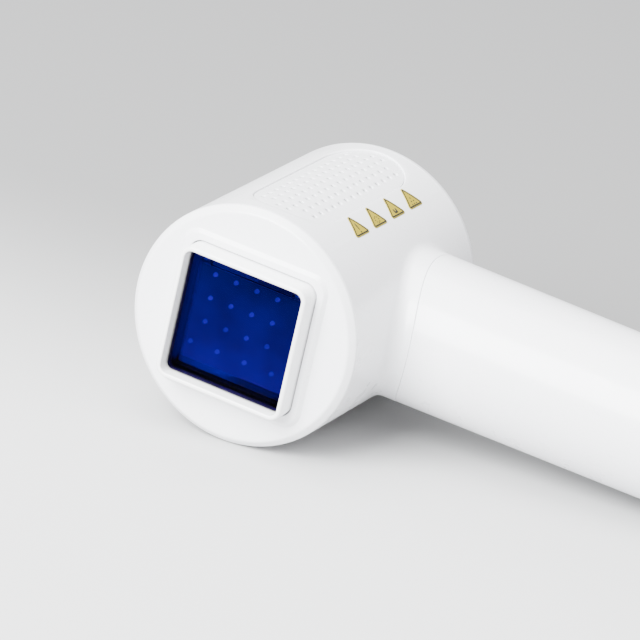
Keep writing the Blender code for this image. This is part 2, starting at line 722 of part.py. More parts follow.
def fan_stator():
    front, back = FAN_FRONT + 2.6, FAN_FRONT + FAN_DEPTH - 1.2 - GAP
    profile = [(7.4, back), (7.4, front), (1.2, front), (1.2, back)]
    return turned("fan_stator", profile, "Y", 20, finish=COPPER)


def power_button():
    top = REAR_FACE + BUTTON_PROUD
    inside = REAR_FACE - 2 - GAP
    profile = [(0, top), (BUTTON_RADIUS - 1.4, top - 0.1), (BUTTON_RADIUS - 0.4, top - 0.5),
               (BUTTON_RADIUS, top - 1.3), (BUTTON_RADIUS, inside), (BUTTON_RADIUS + 1.4, inside),
               (BUTTON_RADIUS + 1.4, inside - 1), (2, inside - 1), (2, 66.4), (0, 66.4)]
    button = turned("power_button", profile, "Y", 24, finish=PLASTIC)
    return smooth(set_origin(button, (0, REAR_FACE, 0)))


def level_light_guide():
    """A clear moulding behind the rear cap: a bent bar with one pip for each level."""
    bm = bmesh.new()
    places = list(lens_places())
    for x, z in places:
        add_rod(bm, (x, REAR_FACE - 1.9, z), LENS_RADIUS, 4.0, "Y", 10)
    pips = from_bmesh("level_light_guide", bm, LAMP)
    back = REAR_FACE - 2 - GAP
    ring = turned("guide_bar", [(LENS_RING + 1.6, back), (LENS_RING + 1.6, back - 1.2),
                                (LENS_RING - 1.6, back - 1.2), (LENS_RING - 1.6, back)], "Y", 40)
    combine(ring, box("guide_span", (-14, back - 3, 4), (14, back + 3, 18)), "INTERSECT")
    return join(pips, ring)


def rear_controls():
    power_button()
    level_light_guide()
    rod("control_board", (0, REAR_BOARD_FRONT + 0.8, 0), 25.0, 1.6, "Y", 28, BOARD)
    surface = REAR_BOARD_FRONT + 1.6 + GAP
    switch = box("power_switch", (-3, surface, -3), (3, surface + 3, 3), BLACK)
    join(switch, rod("power_switch_plunger", (0, surface + 3, 0), 1.6, 1.4, "Y", 10))
    rod("trigger_coil", (-11, REAR_BOARD_FRONT - GAP - 6, -12), 3.2, 12, "Y", 14, COPPER)


# ---------------------------------------------------------------- handle

def handle_sleeve():
    """The tapered grip tube, cut to the round seam line at the head."""
    outside = [(handle_radius(SLEEVE_END), SLEEVE_END), (handle_radius(24), 24)]
    inside = [(radius - HANDLE_WALL, x) for radius, x in reversed(outside)]
    sleeve = turned("handle_sleeve", outside + inside, "X", HANDLE_STEPS, (0, HANDLE_Y, 0), PLASTIC)
    seam = SEAM_RADIUS + GAP
    cut(sleeve, turned("seam_cutter", [(0, 80), (seam, 80), (seam, 5), (0, 5)], "Y", HEAD_STEPS * 2))
    length = FLASH_HALF_LENGTH + BEZEL_WIDTH + 2 * GAP
    width = FLASH_HALF_WIDTH + BEZEL_WIDTH + 2 * GAP
    centre = (FLASH_X, HANDLE_Y, 0)
    cut(sleeve, rounded_prism("bezel_hole", length, width, 10, 30, width - 0.1, centre=centre))
    return smooth(sleeve)


def flash_button():
    centre = (FLASH_X, HANDLE_Y, 0)
    button = rounded_prism("flash_button", FLASH_HALF_LENGTH, FLASH_HALF_WIDTH, 16.2, 21.0,
                           FLASH_HALF_WIDTH - 0.1, PLASTIC, centre)
    dome = turned("button_dome", [(0, 80), (21.0, 80), (21.0, 40), (0, 40)], "X", 96, (0, HANDLE_Y, 0))
    combine(button, dome, "INTERSECT")
    foot = rounded_prism("button_foot", FLASH_HALF_LENGTH + 0.8, FLASH_HALF_WIDTH + 0.8, 15.6, 16.6,
                         FLASH_HALF_WIDTH + 0.6, centre=centre)
    join(button, foot)
    return set_origin(button, (FLASH_X, HANDLE_Y + 20, 0))


def button_bezel():
    centre = (FLASH_X, HANDLE_Y, 0)
    length, width = FLASH_HALF_LENGTH + GAP, FLASH_HALF_WIDTH + GAP
    bezel = rounded_prism("button_bezel", length + BEZEL_WIDTH, width + BEZEL_WIDTH, 17.5, 24,
                          width + BEZEL_WIDTH - 0.1, ALUMINIUM, centre)
    cover = turned("bezel_cover", [(0, 80), (20.45, 80), (20.45, 40), (0, 40)], "X", 96, (0, HANDLE_Y, 0))
    combine(bezel, cover, "INTERSECT")
    return cut(bezel, rounded_prism("bezel_inside", length, width, 10, 30, width - 0.1, centre=centre))


def handle_end_cap():
    """The cap with its spigot, the socket's tube and the well that a plug goes in."""
    face, inside = END_X, END_X - 2.4
    well_floor = END_X - WELL_DEPTH
    rounding = arc((END_RADIUS - END_ROUNDING, face - END_ROUNDING), END_ROUNDING, 90, 0, 3)
    profile = [(WELL_RADIUS, face), *rounding, (END_RADIUS, SLEEVE_END + GAP), (16.9, SLEEVE_END + GAP),
               (16.9, 129), (15.4, 129), (15.4, inside), (7.2, inside), (7.2, 126), (4.9, 126),
               (4.9, well_floor), (WELL_RADIUS, well_floor)]
    return smooth(turned("handle_end_cap", profile, "X", HANDLE_STEPS, (0, HANDLE_Y, 0), PLASTIC))


def dc_socket():
    mouth = END_X - WELL_DEPTH
    profile = [(4.6, mouth), (4.6, 123), (0, 123)]
    inside = [(0, 125.5), (2.75, 125.5), (2.75, mouth)]
    socket = turned("dc_socket", inside + profile, "X", 24, (0, HANDLE_Y, 0), BLACK)
    rod("dc_socket_pin", (129.8, HANDLE_Y, 0), 1.05, 8.0, "X", 12, BRASS)
    return socket


def handle_chassis():
    """The inner plate of the handle, with the tab that backs the flash switch."""
    chassis = box("handle_chassis", (52, HANDLE_Y - 13, 8.1), (124, HANDLE_Y + 13, 9.2), PLASTIC_INNER)
    return join(chassis, box("switch_tab", (53.5, HANDLE_Y + 8.6, -4), (60.5, HANDLE_Y + 10.1, 8.6)))


def handle_inside():
    handle_chassis()
    low, high = (FLASH_X - 3, HANDLE_Y + 10.4, -3), (FLASH_X + 3, HANDLE_Y + 13.2, 3)
    switch = box("flash_switch", low, high, BLACK)
    join(switch, rod("flash_switch_plunger", (FLASH_X, HANDLE_Y + 13.2, 0), 1.4, 1.4, "Y", 10))
    rod("main_capacitor", (94, HANDLE_Y, -4.4), 11.9, 54, "X", 24, CAP_BLUE)
    box("power_board", (54, HANDLE_Y - 12, 9.5), (122, HANDLE_Y + 12, 11.1), BOARD)
    box("step_up_transformer", (72, HANDLE_Y - 6, 11.4), (88, HANDLE_Y + 6, 15.0), COPPER)
    box("charge_inductor", (98, HANDLE_Y - 5, 11.4), (107, HANDLE_Y + 5, 14.8), BLACK)


def lamp_leads():
    """Two insulated leads from the lamp's ends, past the fan, into the handle."""
    x, z = CHAMBER_HALF - GAP - 0.5, CHAMBER_HALF - GAP - 0.5
    near = [(x, 3.0, z), (x, 12, z), (x, 21, z), (x + 1.4, 26, z + 0.6), (21.8, 28.5, 14.5),
            (24, 33, 11), (25, 38, 8), (30, 41.5, 5.5), (40, 42, 5.6), (50, 42, 9.8), (53, 42, 10.2)]
    far = [(-x, 3.0, z), (-x, 12, z), (-x, 21, z), (-x - 1.4, 26, z + 0.6), (-21.8, 28.5, 14.0),
           (-23.5, 35, 10), (-20, 44, 6), (-6, 49, 2), (10, 48, 2), (28, 43, 1), (40, 38, 3.5),
           (49, 36, 9.6), (53, 36, 10.2)]
    for name, route, finish in (("lamp_lead_near", near, LEAD), ("lamp_lead_far", far, BLACK)):
        wire(name, smooth_route([Vector(p) for p in route], 3), 0.6, finish)


# ---------------------------------------------------------------- fasteners

def fan_screw(number, x, z):
    """A pan-head screw along Y, its head on the fan frame's rear."""
    head_front = FAN_FRONT + FAN_DEPTH + GAP
    head = rod(f"fan_screw_{number}", (x, head_front + 0.8, z), 2.6, 1.6, "Y", 10, STEEL)
    tip = FAN_FRONT - 1.2
    top = head_front + 1
    return join(head, rod(f"fan_screw_shank_{number}", (x, (tip + top) / 2, z), 1.4, top - tip, "Y", 8))


def fasteners():
    for number, (x, z) in enumerate(corner_places(FAN_SCREW_PLACE), 1):
        fan_screw(number, x, z)


# ---------------------------------------------------------------- stance

def lean():
    """The lean at which the head's side and the handle end's lower edge share one floor."""
    edge_x, edge_radius = END_X - END_ROUNDING, END_RADIUS
    return asin(HEAD_RADIUS / sqrt(edge_x ** 2 + edge_radius ** 2)) - atan2(edge_radius, edge_x)


def stand():
    """Lean the device, then put its box's bottom centre on the world's origin."""
    DEVICE.rotation_euler = (0, lean(), 0)
    bpy.context.view_layer.update()
    graph = bpy.context.evaluated_depsgraph_get()
    points = []
    for obj in PARTS.objects:
        if obj.type in {"MESH", "CURVE"}:
            ready = obj.evaluated_get(graph)
            mesh = ready.to_mesh()
            points += [ready.matrix_world @ vertex.co for vertex in mesh.vertices]
            ready.to_mesh_clear()
    low = Vector([min(p[i] for p in points) for i in range(3)])
    high = Vector([max(p[i] for p in points) for i in range(3)])
    DEVICE.location = (-(low.x + high.x) / 2, -(low.y + high.y) / 2, -low.z)
    bpy.context.view_layer.update()


def main():
    barrel_shell()
    vent_grille("upper", 1)
    vent_grille("lower", -1)
    dust_filter("upper", 1)
    dust_filter("lower", -1)
    front_cover()
    rear_cap()
    for index in range(LABEL_COUNT):
        marker_label(index)
    treatment_window()
    fan_housing()
    fan_rotor()
    fan_stator()
    rear_controls()
    handle_sleeve()
    handle_end_cap()
    dc_socket()
    flash_button()
    button_bezel()
    handle_inside()
    lamp_leads()
    fasteners()
    stand()


main()
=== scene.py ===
"""The looks of a hand-held light hair remover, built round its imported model.

Every piece is modelled in the device's own axes, in millimetres: +X along the handle, +Y along
the head from the treatment window to the rear cap, +Z towards the head's upper side. The
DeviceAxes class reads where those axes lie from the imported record, and the Workshop puts each
finished mesh in its place in the world, in metres.
"""

import json
import logging
from collections.abc import Callable, Iterable, Iterator, Sequence
from dataclasses import dataclass
from enum import Enum
from math import asin, atan2, cos, hypot, pi, radians, sin, sqrt

import bmesh
import bpy
from mathutils import Matrix, Vector


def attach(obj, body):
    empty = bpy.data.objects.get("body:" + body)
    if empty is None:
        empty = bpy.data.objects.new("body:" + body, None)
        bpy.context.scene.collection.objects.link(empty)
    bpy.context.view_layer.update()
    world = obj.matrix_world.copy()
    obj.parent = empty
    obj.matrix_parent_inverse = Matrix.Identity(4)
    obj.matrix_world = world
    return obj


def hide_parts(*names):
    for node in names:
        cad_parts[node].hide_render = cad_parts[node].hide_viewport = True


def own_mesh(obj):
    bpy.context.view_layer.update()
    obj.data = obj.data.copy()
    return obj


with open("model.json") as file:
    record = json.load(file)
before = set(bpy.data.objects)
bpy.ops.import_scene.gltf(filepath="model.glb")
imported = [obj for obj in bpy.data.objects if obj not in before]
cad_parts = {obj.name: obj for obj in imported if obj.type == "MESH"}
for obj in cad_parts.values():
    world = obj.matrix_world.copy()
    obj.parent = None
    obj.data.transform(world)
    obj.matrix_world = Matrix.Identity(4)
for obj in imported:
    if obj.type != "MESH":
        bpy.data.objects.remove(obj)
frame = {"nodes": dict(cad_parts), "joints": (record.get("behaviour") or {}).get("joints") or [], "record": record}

LOG = logging.getLogger("hair_remover")
MM = 0.001
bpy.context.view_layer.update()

Point = Sequence[float]
Loop = list[bmesh.types.BMVert]


# ------------------------------------------------------------------ places and outlines

class Body(str, Enum):
    """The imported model's bodies."""

    ROOT = "root"
    WINDOW_FRAME = "window_frame"
    POWER_KEY = "power_key"
    FLASH_KEY = "flash_key"


class Axis(Enum):
    """A device axis that a turned piece stands on, as a turn from +Z."""

    X = (pi / 2, "Y")
    Y = (-pi / 2, "X")
    Z = (0.0, "Z")

    @property
    def matrix(self) -> Matrix:
        """The turn from +Z to this axis."""
        return Matrix.Rotation(self.value[0], 4, self.value[1])


@dataclass(frozen=True)
class DeviceAxes:
    """The device's own axes in the world.

    Attributes:
        lean: How far the handle dips below the horizontal, in radians.
        origin: The head's axis at the front rim, in metres.
    """

    lean: float
    origin: Vector

    @classmethod
    def from_record(cls, record: dict, joints: list[dict], frame_face: float) -> "DeviceAxes":
        """Read the axes from the record's mounts and joints.

        Args:
            record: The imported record.
            joints: The record's joints.
            frame_face: Where the window frame's face lies on the head's axis, in millimetres.

        Returns:
            The device's axes.
        """
        mounts = {mount["name"]: mount for mount in record["mounts"]}
        spin = next(joint["pos_m"] for joint in joints if joint["name"] == "fan_spin")
        along = mounts["handle_end_face"]["axis"]
        front = mounts["treatment_face"]["pos_m"][1] - frame_face * MM
        return cls(atan2(-along[2], along[0]), Vector((spin[0], front, spin[2])))

    @property
    def matrix(self) -> Matrix:
        """The matrix from device millimetres to world metres."""
        return Matrix.Translation(self.origin) @ Matrix.Rotation(self.lean, 4, "Y") @ Matrix.Scale(MM, 4)

    @property
    def up(self) -> Vector:
        """The device's +Z direction in the world."""
        return Vector((sin(self.lean), 0, cos(self.lean)))

    def heights(self, *places: float) -> tuple[float, ...]:
        """How far places on the device's Z axis lie along it from the world's origin, in metres."""
        return tuple(self.origin.dot(self.up) + place * MM for place in places)


@dataclass(frozen=True)
class RoundedRectangle:
    """A rounded rectangle about the origin: a stadium or a circle where its corners are full.

    Attributes:
        half_a: Half its size along the first axis.
        half_b: Half its size along the second axis.
        corner: Its corners' radius.
        crowding: How much closer the points stand round the corners.
    """

    half_a: float
    half_b: float
    corner: float
    crowding: float = 2.0

    def at(self, quarter: float, offset: float = 0.0) -> tuple[float, float]:
        """A point of the outline.

        Args:
            quarter: From 0 to 4 once round, with 0 on the first axis and 1 on the second.
            offset: How far outside the outline the point lies.

        Returns:
            The point's two coordinates.
        """
        index, share = divmod(quarter % 4, 1)
        half_a, half_b = (self.half_b, self.half_a) if index % 2 else (self.half_a, self.half_b)
        side, top = half_b - self.corner, half_a - self.corner
        bend = self.corner * pi / 2 * self.crowding
        travel = share * (side + bend + top)
        if travel < side:
            a, b = half_a + offset, travel
        elif travel <= side + bend:
            turn = (travel - side) / max(bend, 1e-9) * pi / 2
            reach = max(self.corner + offset, 0.0)
            a, b = top + reach * cos(turn), side + reach * sin(turn)
        else:
            a, b = top - (travel - side - bend), half_b + offset
        return [(a, b), (-b, a), (-a, -b), (b, -a)][int(index)]

    def loop(self, count: int, offset: float = 0.0) -> list[tuple[float, float]]:
        """Points once round the outline, or round one that lies outside it by the offset."""
        return [self.at(4 * step / count, offset) for step in range(count)]

    def circle(self, count: int, radius: float) -> list[tuple[float, float]]:
        """Points of a circle, each in the direction of this outline's own point."""
        return [(a * radius / hypot(a, b), b * radius / hypot(a, b)) for a, b in self.loop(count)]


def border(half: Point, steps: tuple[int, int]) -> list[Vector]:
    """Even points round a rectangle, with as many in each quarter.

    Args:
        half: Half its size each way.
        steps: For each way, the steps from the middle of a side to its corner.

    Returns:
        The points, from the middle of the first side on.
    """
    (a, b), (steps_a, steps_b) = half, steps
    up = [Vector((a, b * step / steps_b)) for step in range(steps_b)]
    back = [Vector((a * (1 - step / steps_a), b)) for step in range(steps_a)]
    across = [Vector((-a * step / steps_a, b)) for step in range(steps_a)]
    down = [Vector((-a, b * (1 - step / steps_b))) for step in range(steps_b)]
    half_way = up + back + across + down
    return half_way + [-point for point in half_way]


def between(one: Iterable[Point], other: Iterable[Point], share: float) -> list[Vector]:
    """Points that lie a share of the way from one list's points to the other's."""
    return [Vector(a).lerp(Vector(b), share) for a, b in zip(one, other)]


def flat(points: Iterable[Point], height: float) -> list[tuple[float, float, float]]:
    """Points of a plane laid at a height."""
    return [(point[0], point[1], height) for point in points]


def rounded_path(corners: Sequence[Point], steps: int = 5) -> list[Vector]:
    """An open path whose corners are rounded.

    Args:
        corners: Points of two numbers, with a third for the corner's radius where it has one.
        steps: How many edges each rounding has.

    Returns:
        The path's points, in two dimensions.
    """
    points = [Vector(corner[:2]) for corner in corners]
    path = []
    for index, corner in enumerate(corners):
        here = points[index]
        if len(corner) < 3:
            path.append(here)
            continue
        into = (points[index - 1] - here).normalized()
        out = (points[index + 1] - here).normalized()
        half = into.angle(out) / 2
        middle = here + (into + out).normalized() * (corner[2] / sin(half))
        start = here + into * (corner[2] / sin(half) * cos(half)) - middle
        end = here + out * (corner[2] / sin(half) * cos(half)) - middle
        sweep = atan2(start.x * end.y - start.y * end.x, start.dot(end))
        for step in range(steps + 1):
            path.append(middle + Matrix.Rotation(sweep * step / steps, 2) @ start)
    return path


# ------------------------------------------------------------------ mesh building

class Skin:
    """A surface grown from loops of edges, in device millimetres."""

    def __init__(self) -> None:
        """Start with an empty bmesh."""
        self.bm = bmesh.new()

    def start(self, points: Iterable[Point]) -> Loop:
        """Lay a closed loop of edges through points."""
        verts = [self.bm.verts.new(point) for point in points]
        for one, other in zip(verts, verts[1:] + verts[:1]):
            self.bm.edges.new((one, other))
        return verts

    def edges_of(self, loop: Loop) -> list[bmesh.types.BMEdge]:
        """The edges of a closed loop, in order."""
        return [self.bm.edges.get(pair) for pair in zip(loop, loop[1:] + loop[:1])]

    def grow(self, loop: Loop, *rings: Iterable[Point], material: int = 0) -> Loop:
        """Extrude a closed loop once for each ring of points, and lay it on them.

        Args:
            loop: The loop to start from.
            rings: For each new loop, as many points as the loop has.
            material: The material index of the new faces.

        Returns:
            The last loop.
        """
        for ring in rings:
            made = bmesh.ops.extrude_edge_only(self.bm, edges=self.edges_of(loop))["geom"]
            fresh = {item for item in made if isinstance(item, bmesh.types.BMVert)}
            grown = []
            for vert, point in zip(loop, ring):
                twin = next(e.other_vert(vert) for e in vert.link_edges if e.other_vert(vert) in fresh)
                twin.co = point
                grown.append(twin)
            for item in made:
                if isinstance(item, bmesh.types.BMFace):
                    item.material_index = material
            loop = grown
        return loop

    def close(self, one: Loop, other: Loop) -> None:
        """Join two loops of one count by a band of faces."""
        bmesh.ops.bridge_loops(self.bm, edges=self.edges_of(one) + self.edges_of(other))

    def cap(self, loop: Loop, material: int = 0) -> None:
        """Fill a loop with one face."""
        for face in bmesh.ops.contextual_create(self.bm, geom=self.edges_of(loop))["faces"]:
            face.material_index = material

    def fill(self, *loops: Loop) -> None:
        """Fill the flat region between an outer loop and the loops inside it."""
        edges = [edge for loop in loops for edge in self.edges_of(loop)]
        bmesh.ops.triangle_fill(self.bm, edges=edges, use_beauty=True, use_dissolve=False)

    def shape(self, placing: Callable[[Vector], Point]) -> None:
        """Move every vertex where a function says."""
        for vert in self.bm.verts:
            vert.co = placing(vert.co.copy())

    def outward(self) -> None:
        """Turn all faces outwards."""
        bmesh.ops.recalc_face_normals(self.bm, faces=self.bm.faces)

    def weld(self, within: float = 0.002) -> None:
        """Merge doubles and turn all faces outwards."""
        bmesh.ops.remove_doubles(self.bm, verts=self.bm.verts, dist=within)
        self.outward()


class Layout(Skin):
    """A wall laid out flat as (round, along, out), to be rolled up when it is whole."""

    def panel(self, low: Point, high: Point, counts: tuple[int, int], out: float) -> None:
        """Lay an even panel.

        Args:
            low: Its lowest corner, (round, along).
            high: Its highest corner.
            counts: How many faces it has each way.
            out: Its height over the wall's surface.
        """
        middle, size = (Vector(low) + Vector(high)) / 2, Vector(high) - Vector(low)
        matrix = Matrix.Translation((*middle, out)) @ Matrix.Diagonal((*size, 1, 1))
        bmesh.ops.create_grid(self.bm, x_segments=counts[0], y_segments=counts[1], size=0.5, matrix=matrix)

    def pierced(self, centre: Point, half: Point, steps: tuple[int, int], out: float,
                hole: Iterable[Point], bands: int) -> Loop:
        """Lay a panel with one hole.

        Args:
            centre: Its middle, (round, along).
            half: Half its size each way.
            steps: Its steps each way, from the middle to the corner.
            out: Its height over the wall's surface.
            hole: The hole's points about the middle, one for each point of the border.
            bands: How many bands of faces lie between the border and the hole.

        Returns:
            The hole's loop.
        """
        middle = Vector(centre)
        outer = [point + middle for point in border(half, steps)]
        inner = [Vector(point) + middle for point in hole]
        rings = [flat(between(outer, inner, band / bands), out) for band in range(1, bands + 1)]
        return self.grow(self.start(flat(outer, out)), *rings)


class Workshop:
    """Turns finished bmeshes into pieces that stand in the world and ride on a body."""

    def __init__(self, axes: DeviceAxes) -> None:
        """Keep the device's axes."""
        self.axes = axes

    def finish(self, name: str, bm: bmesh.types.BMesh, materials: Sequence[bpy.types.Material], slot: str,
               replaces: Sequence[str] = (), body: Body = Body.ROOT, sharp: float = 40.0,
               wall: float = 0.0) -> bpy.types.Object:
        """Make a piece of a bmesh.

        Args:
            name: The piece's name.
            bm: Its shape in device millimetres.
            materials: Its materials, by material index.
            slot: The record's material slot; not used.
            replaces: The model's nodes that it stands for.
            body: The body that it rides on.
            sharp: Edges that turn more than this many degrees stay sharp.
            wall: A wall's thickness put on inwards, in millimetres.

        Returns:
            The piece.
        """
        mesh = bpy.data.meshes.new(name)
        bm.to_mesh(mesh)
        bm.free()
        mesh.transform(self.axes.matrix)
        mesh.shade_smooth()
        mesh.set_sharp_from_angle(angle=radians(sharp))
        for material in materials:
            mesh.materials.append(material)
        piece = bpy.data.objects.new(name, mesh)
        bpy.context.scene.collection.objects.link(piece)
        if wall:
            solidify = piece.modifiers.new("wall", "SOLIDIFY")
            solidify.thickness = wall * MM
            solidify.offset = -1.0
        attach(piece, body.value)
        if replaces:
            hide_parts(*replaces)
        LOG.info("%s: %d faces, rides on %s", name, len(mesh.polygons), body.value)
        return piece


def turned(path: Sequence[Point], axis: Axis, centre: Point = (0, 0, 0),
           steps: int = 96) -> bmesh.types.BMesh:
    """Turn a path of (radius, height) points about an axis of the device.

    Args:
        path: The path, which starts and ends on the axis or closes on itself.
        axis: The axis that the heights run along.
        centre: The point of the axis where the height is 0.
        steps: How many steps make the full turn.

    Returns:
        The turned bmesh, closed, with its faces outwards.
    """
    bm = bmesh.new()
    verts = [bm.verts.new((radius, 0, height)) for radius, height in path]
    pairs = list(zip(verts, verts[1:]))
    if path[0][0] > 1e-6:
        pairs.append((verts[-1], verts[0]))
    edges = [bm.edges.new(pair) for pair in pairs]
    bmesh.ops.spin(bm, geom=verts + edges, cent=(0, 0, 0), axis=(0, 0, 1), dvec=(0, 0, 0),
                   angle=2 * pi, steps=steps, use_merge=True)
    bmesh.ops.remove_doubles(bm, verts=bm.verts, dist=0.0005)
    bmesh.ops.transform(bm, matrix=Matrix.Translation(centre) @ axis.matrix, verts=bm.verts)
    bmesh.ops.recalc_face_normals(bm, faces=bm.faces)
    return bm


# ------------------------------------------------------------------ finishes

def srgb(code: str) -> tuple[float, float, float, float]:
    """Turn an sRGB hex colour into linear numbers."""
    parts = [int(code[i:i + 2], 16) / 255 for i in (1, 3, 5)]
    return (*(p / 12.92 if p <= 0.04045 else ((p + 0.055) / 1.055) ** 2.4 for p in parts), 1.0)


def per_mm(size: float) -> float:
    """The texture scale, on coordinates in metres, whose cells are so many millimetres across."""
    return 1 / (size * MM)


def add_node(tree: bpy.types.NodeTree, kind: str, inputs: dict | None = None, **settings) -> bpy.types.Node:
    """Add a node, set its properties and fill its inputs.

    Args:
        tree: The node tree.
        kind: The node's type, without its ShaderNode prefix.
        inputs: For each input, by name or number, a value or another node's output.
        settings: The node's properties.

    Returns:
        The node.
    """
    node = tree.nodes.new("ShaderNode" + kind)
    for name, value in settings.items():
        setattr(node, name, value)
    for name, value in (inputs or {}).items():
        if isinstance(value, bpy.types.NodeSocket):
            tree.links.new(value, node.inputs[name])
        else:
            node.inputs[name].default_value = value
    return node


@dataclass(frozen=True)
class Finish:
    """What every finish has: a name, a colour and a base gloss.

    Attributes:
        name: The material's name.
        colour: Its main sRGB colour.
        roughness: Its middle roughness.
        metallic: 1 for a bare metal, 0 for anything else.
        ior: Its index of refraction.
    """

    name: str
    colour: str
    roughness: float
    metallic: float = 0.0
    ior: float = 1.5

    def blank(self) -> tuple[bpy.types.Material, bpy.types.NodeTree, bpy.types.Node, bpy.types.NodeSocket]:
        """A material with its tree, its shader and the object's coordinates."""
        material = bpy.data.materials.new(self.name)
        material.use_nodes = True
        tree = material.node_tree
        shader = tree.nodes["Principled BSDF"]
        shader.inputs["Base Color"].default_value = srgb(self.colour)
        shader.inputs["Roughness"].default_value = self.roughness
        shader.inputs["Metallic"].default_value = self.metallic
        shader.inputs["IOR"].default_value = self.ior
        return material, tree, shader, add_node(tree, "TexCoord").outputs["Object"]

    def tint(self, tree: bpy.types.NodeTree, shader: bpy.types.Node, amount: bpy.types.NodeSocket,
             other: str) -> None:
        """Drift the base colour towards another by an amount from 0 to 1."""
        mix = add_node(tree, "Mix", {0: amount, 6: srgb(self.colour), 7: srgb(other)}, data_type="RGBA")
        tree.links.new(mix.outputs[2], shader.inputs["Base Color"])

    def wear(self, tree: bpy.types.NodeTree, shader: bpy.types.Node, field: bpy.types.NodeSocket,
             spread: float) -> None:
        """Let the roughness drift about its middle with a field from 0 to 1."""
        low, high = self.roughness - spread, self.roughness + spread
        drift = add_node(tree, "MapRange", {"Value": field, "From Min": 0.3, "From Max": 0.7,
                                            "To Min": low, "To Max": high})
        tree.links.new(drift.outputs["Result"], shader.inputs["Roughness"])

    def relief(self, tree: bpy.types.NodeTree, shader: bpy.types.Node, field: bpy.types.NodeSocket,
               strength: float, depth_mm: float) -> None:
        """Raise a field from 0 to 1 as a bump of a real depth."""
        bump = add_node(tree, "Bump", {"Height": field, "Strength": strength, "Distance": depth_mm * MM})
        tree.links.new(bump.outputs["Normal"], shader.inputs["Normal"])


@dataclass(frozen=True)
class Moulding(Finish):
    """Injection-moulded ABS: even colour with faint flow clouding, and a fine orange-peel skin.

    Attributes:
        cloud: The sRGB colour that the clouding drifts to.
        peel_mm: The size of the skin's ripples.
        peel: Their strength.
        coat: The share of clear gloss over it.
    """

    cloud: str = "#ffffff"
    peel_mm: float = 0.9
    peel: float = 0.02
    coat: float = 0.0

    def build(self) -> bpy.types.Material:
        """Make the material."""
        material, tree, shader, place = self.blank()
        cloud = add_node(tree, "TexNoise", {"Vector": place, "Scale": per_mm(24), "Detail": 2.0})
        fine = add_node(tree, "TexNoise", {"Vector": place, "Scale": per_mm(5), "Detail": 4.0})
        skin = add_node(tree, "TexNoise", {"Vector": place, "Scale": per_mm(self.peel_mm), "Detail": 2.0})
        self.tint(tree, shader, cloud.outputs["Fac"], self.cloud)
        self.wear(tree, shader, fine.outputs["Fac"], self.roughness * 0.15)
        self.relief(tree, shader, skin.outputs["Fac"], self.peel, 0.05)
        shader.inputs["Coat Weight"].default_value = self.coat
        shader.inputs["Coat Roughness"].default_value = 0.06
        return material


@dataclass(frozen=True)
class DrawnMetal(Finish):
    """Satin metal: drawn, turned or extruded, with fine streaks along one axis.

    Attributes:
        streak_mm: The streaks' width.
        stretch: How many times longer than wide they are.
        dull: The sRGB colour of the duller streaks.
    """

    streak_mm: float = 0.25
    stretch: float = 40.0
    dull: str = "#9a9ca0"

    def build(self) -> bpy.types.Material:
        """Make the material."""
        material, tree, shader, place = self.blank()
        squeeze = add_node(tree, "Mapping", {"Vector": place, "Scale": (1 / self.stretch, 1, 1)})
        streaks = add_node(tree, "TexNoise", {"Vector": squeeze.outputs["Vector"],
                                              "Scale": per_mm(self.streak_mm), "Detail": 3.0})
        smear = add_node(tree, "TexNoise", {"Vector": place, "Scale": per_mm(9), "Detail": 3.0})
        self.tint(tree, shader, streaks.outputs["Fac"], self.dull)
        self.wear(tree, shader, smear.outputs["Fac"], self.roughness * 0.3)
        self.relief(tree, shader, streaks.outputs["Fac"], 0.15, 0.02)
        return material


@dataclass(frozen=True)
class CircuitBoard(Finish):
    """Glass-fibre board under solder mask: traces stand a little proud under the green lacquer.

    Attributes:
        trace: The sRGB colour over the copper.
        pitch_mm: The traces' spacing.
    """

    trace: str = "#1d7a45"
    pitch_mm: float = 1.6

    def build(self) -> bpy.types.Material:
        """Make the material."""
        material, tree, shader, place = self.blank()
        bricks = add_node(tree, "TexBrick", {"Vector": place, "Scale": per_mm(self.pitch_mm * 2),
                                             "Color1": (1, 1, 1, 1), "Color2": (0.6, 0.6, 0.6, 1),
                                             "Mortar": (0, 0, 0, 1), "Mortar Size": 0.06})
        weave = add_node(tree, "TexNoise", {"Vector": place, "Scale": per_mm(0.5), "Detail": 2.0})
        self.tint(tree, shader, bricks.outputs["Color"], self.trace)
        self.wear(tree, shader, weave.outputs["Fac"], 0.08)
        self.relief(tree, shader, bricks.outputs["Color"], 0.3, 0.04)
        return material


@dataclass(frozen=True)
class Wound(Finish):
    """Enamelled wire in close turns under varnish: fine even ribs along one axis.

    Attributes:
        wire_mm: The wire's diameter.
        shade: The sRGB colour between the turns.
        direction: The axis that the turns step along.
    """

    wire_mm: float = 0.5
    shade: str = "#5a2c12"
    direction: str = "Y"

    def build(self) -> bpy.types.Material:
        """Make the material."""
        material, tree, shader, place = self.blank()
        turns = add_node(tree, "TexWave", {"Vector": place, "Scale": per_mm(self.wire_mm) / 20,
                                           "Distortion": 0.4, "Detail": 1.0}, bands_direction=self.direction)
        varnish = add_node(tree, "TexNoise", {"Vector": place, "Scale": per_mm(3), "Detail": 3.0})
        self.tint(tree, shader, turns.outputs["Fac"], self.shade)
        self.wear(tree, shader, varnish.outputs["Fac"], 0.1)
        self.relief(tree, shader, turns.outputs["Fac"], 0.5, 0.15)
        return material


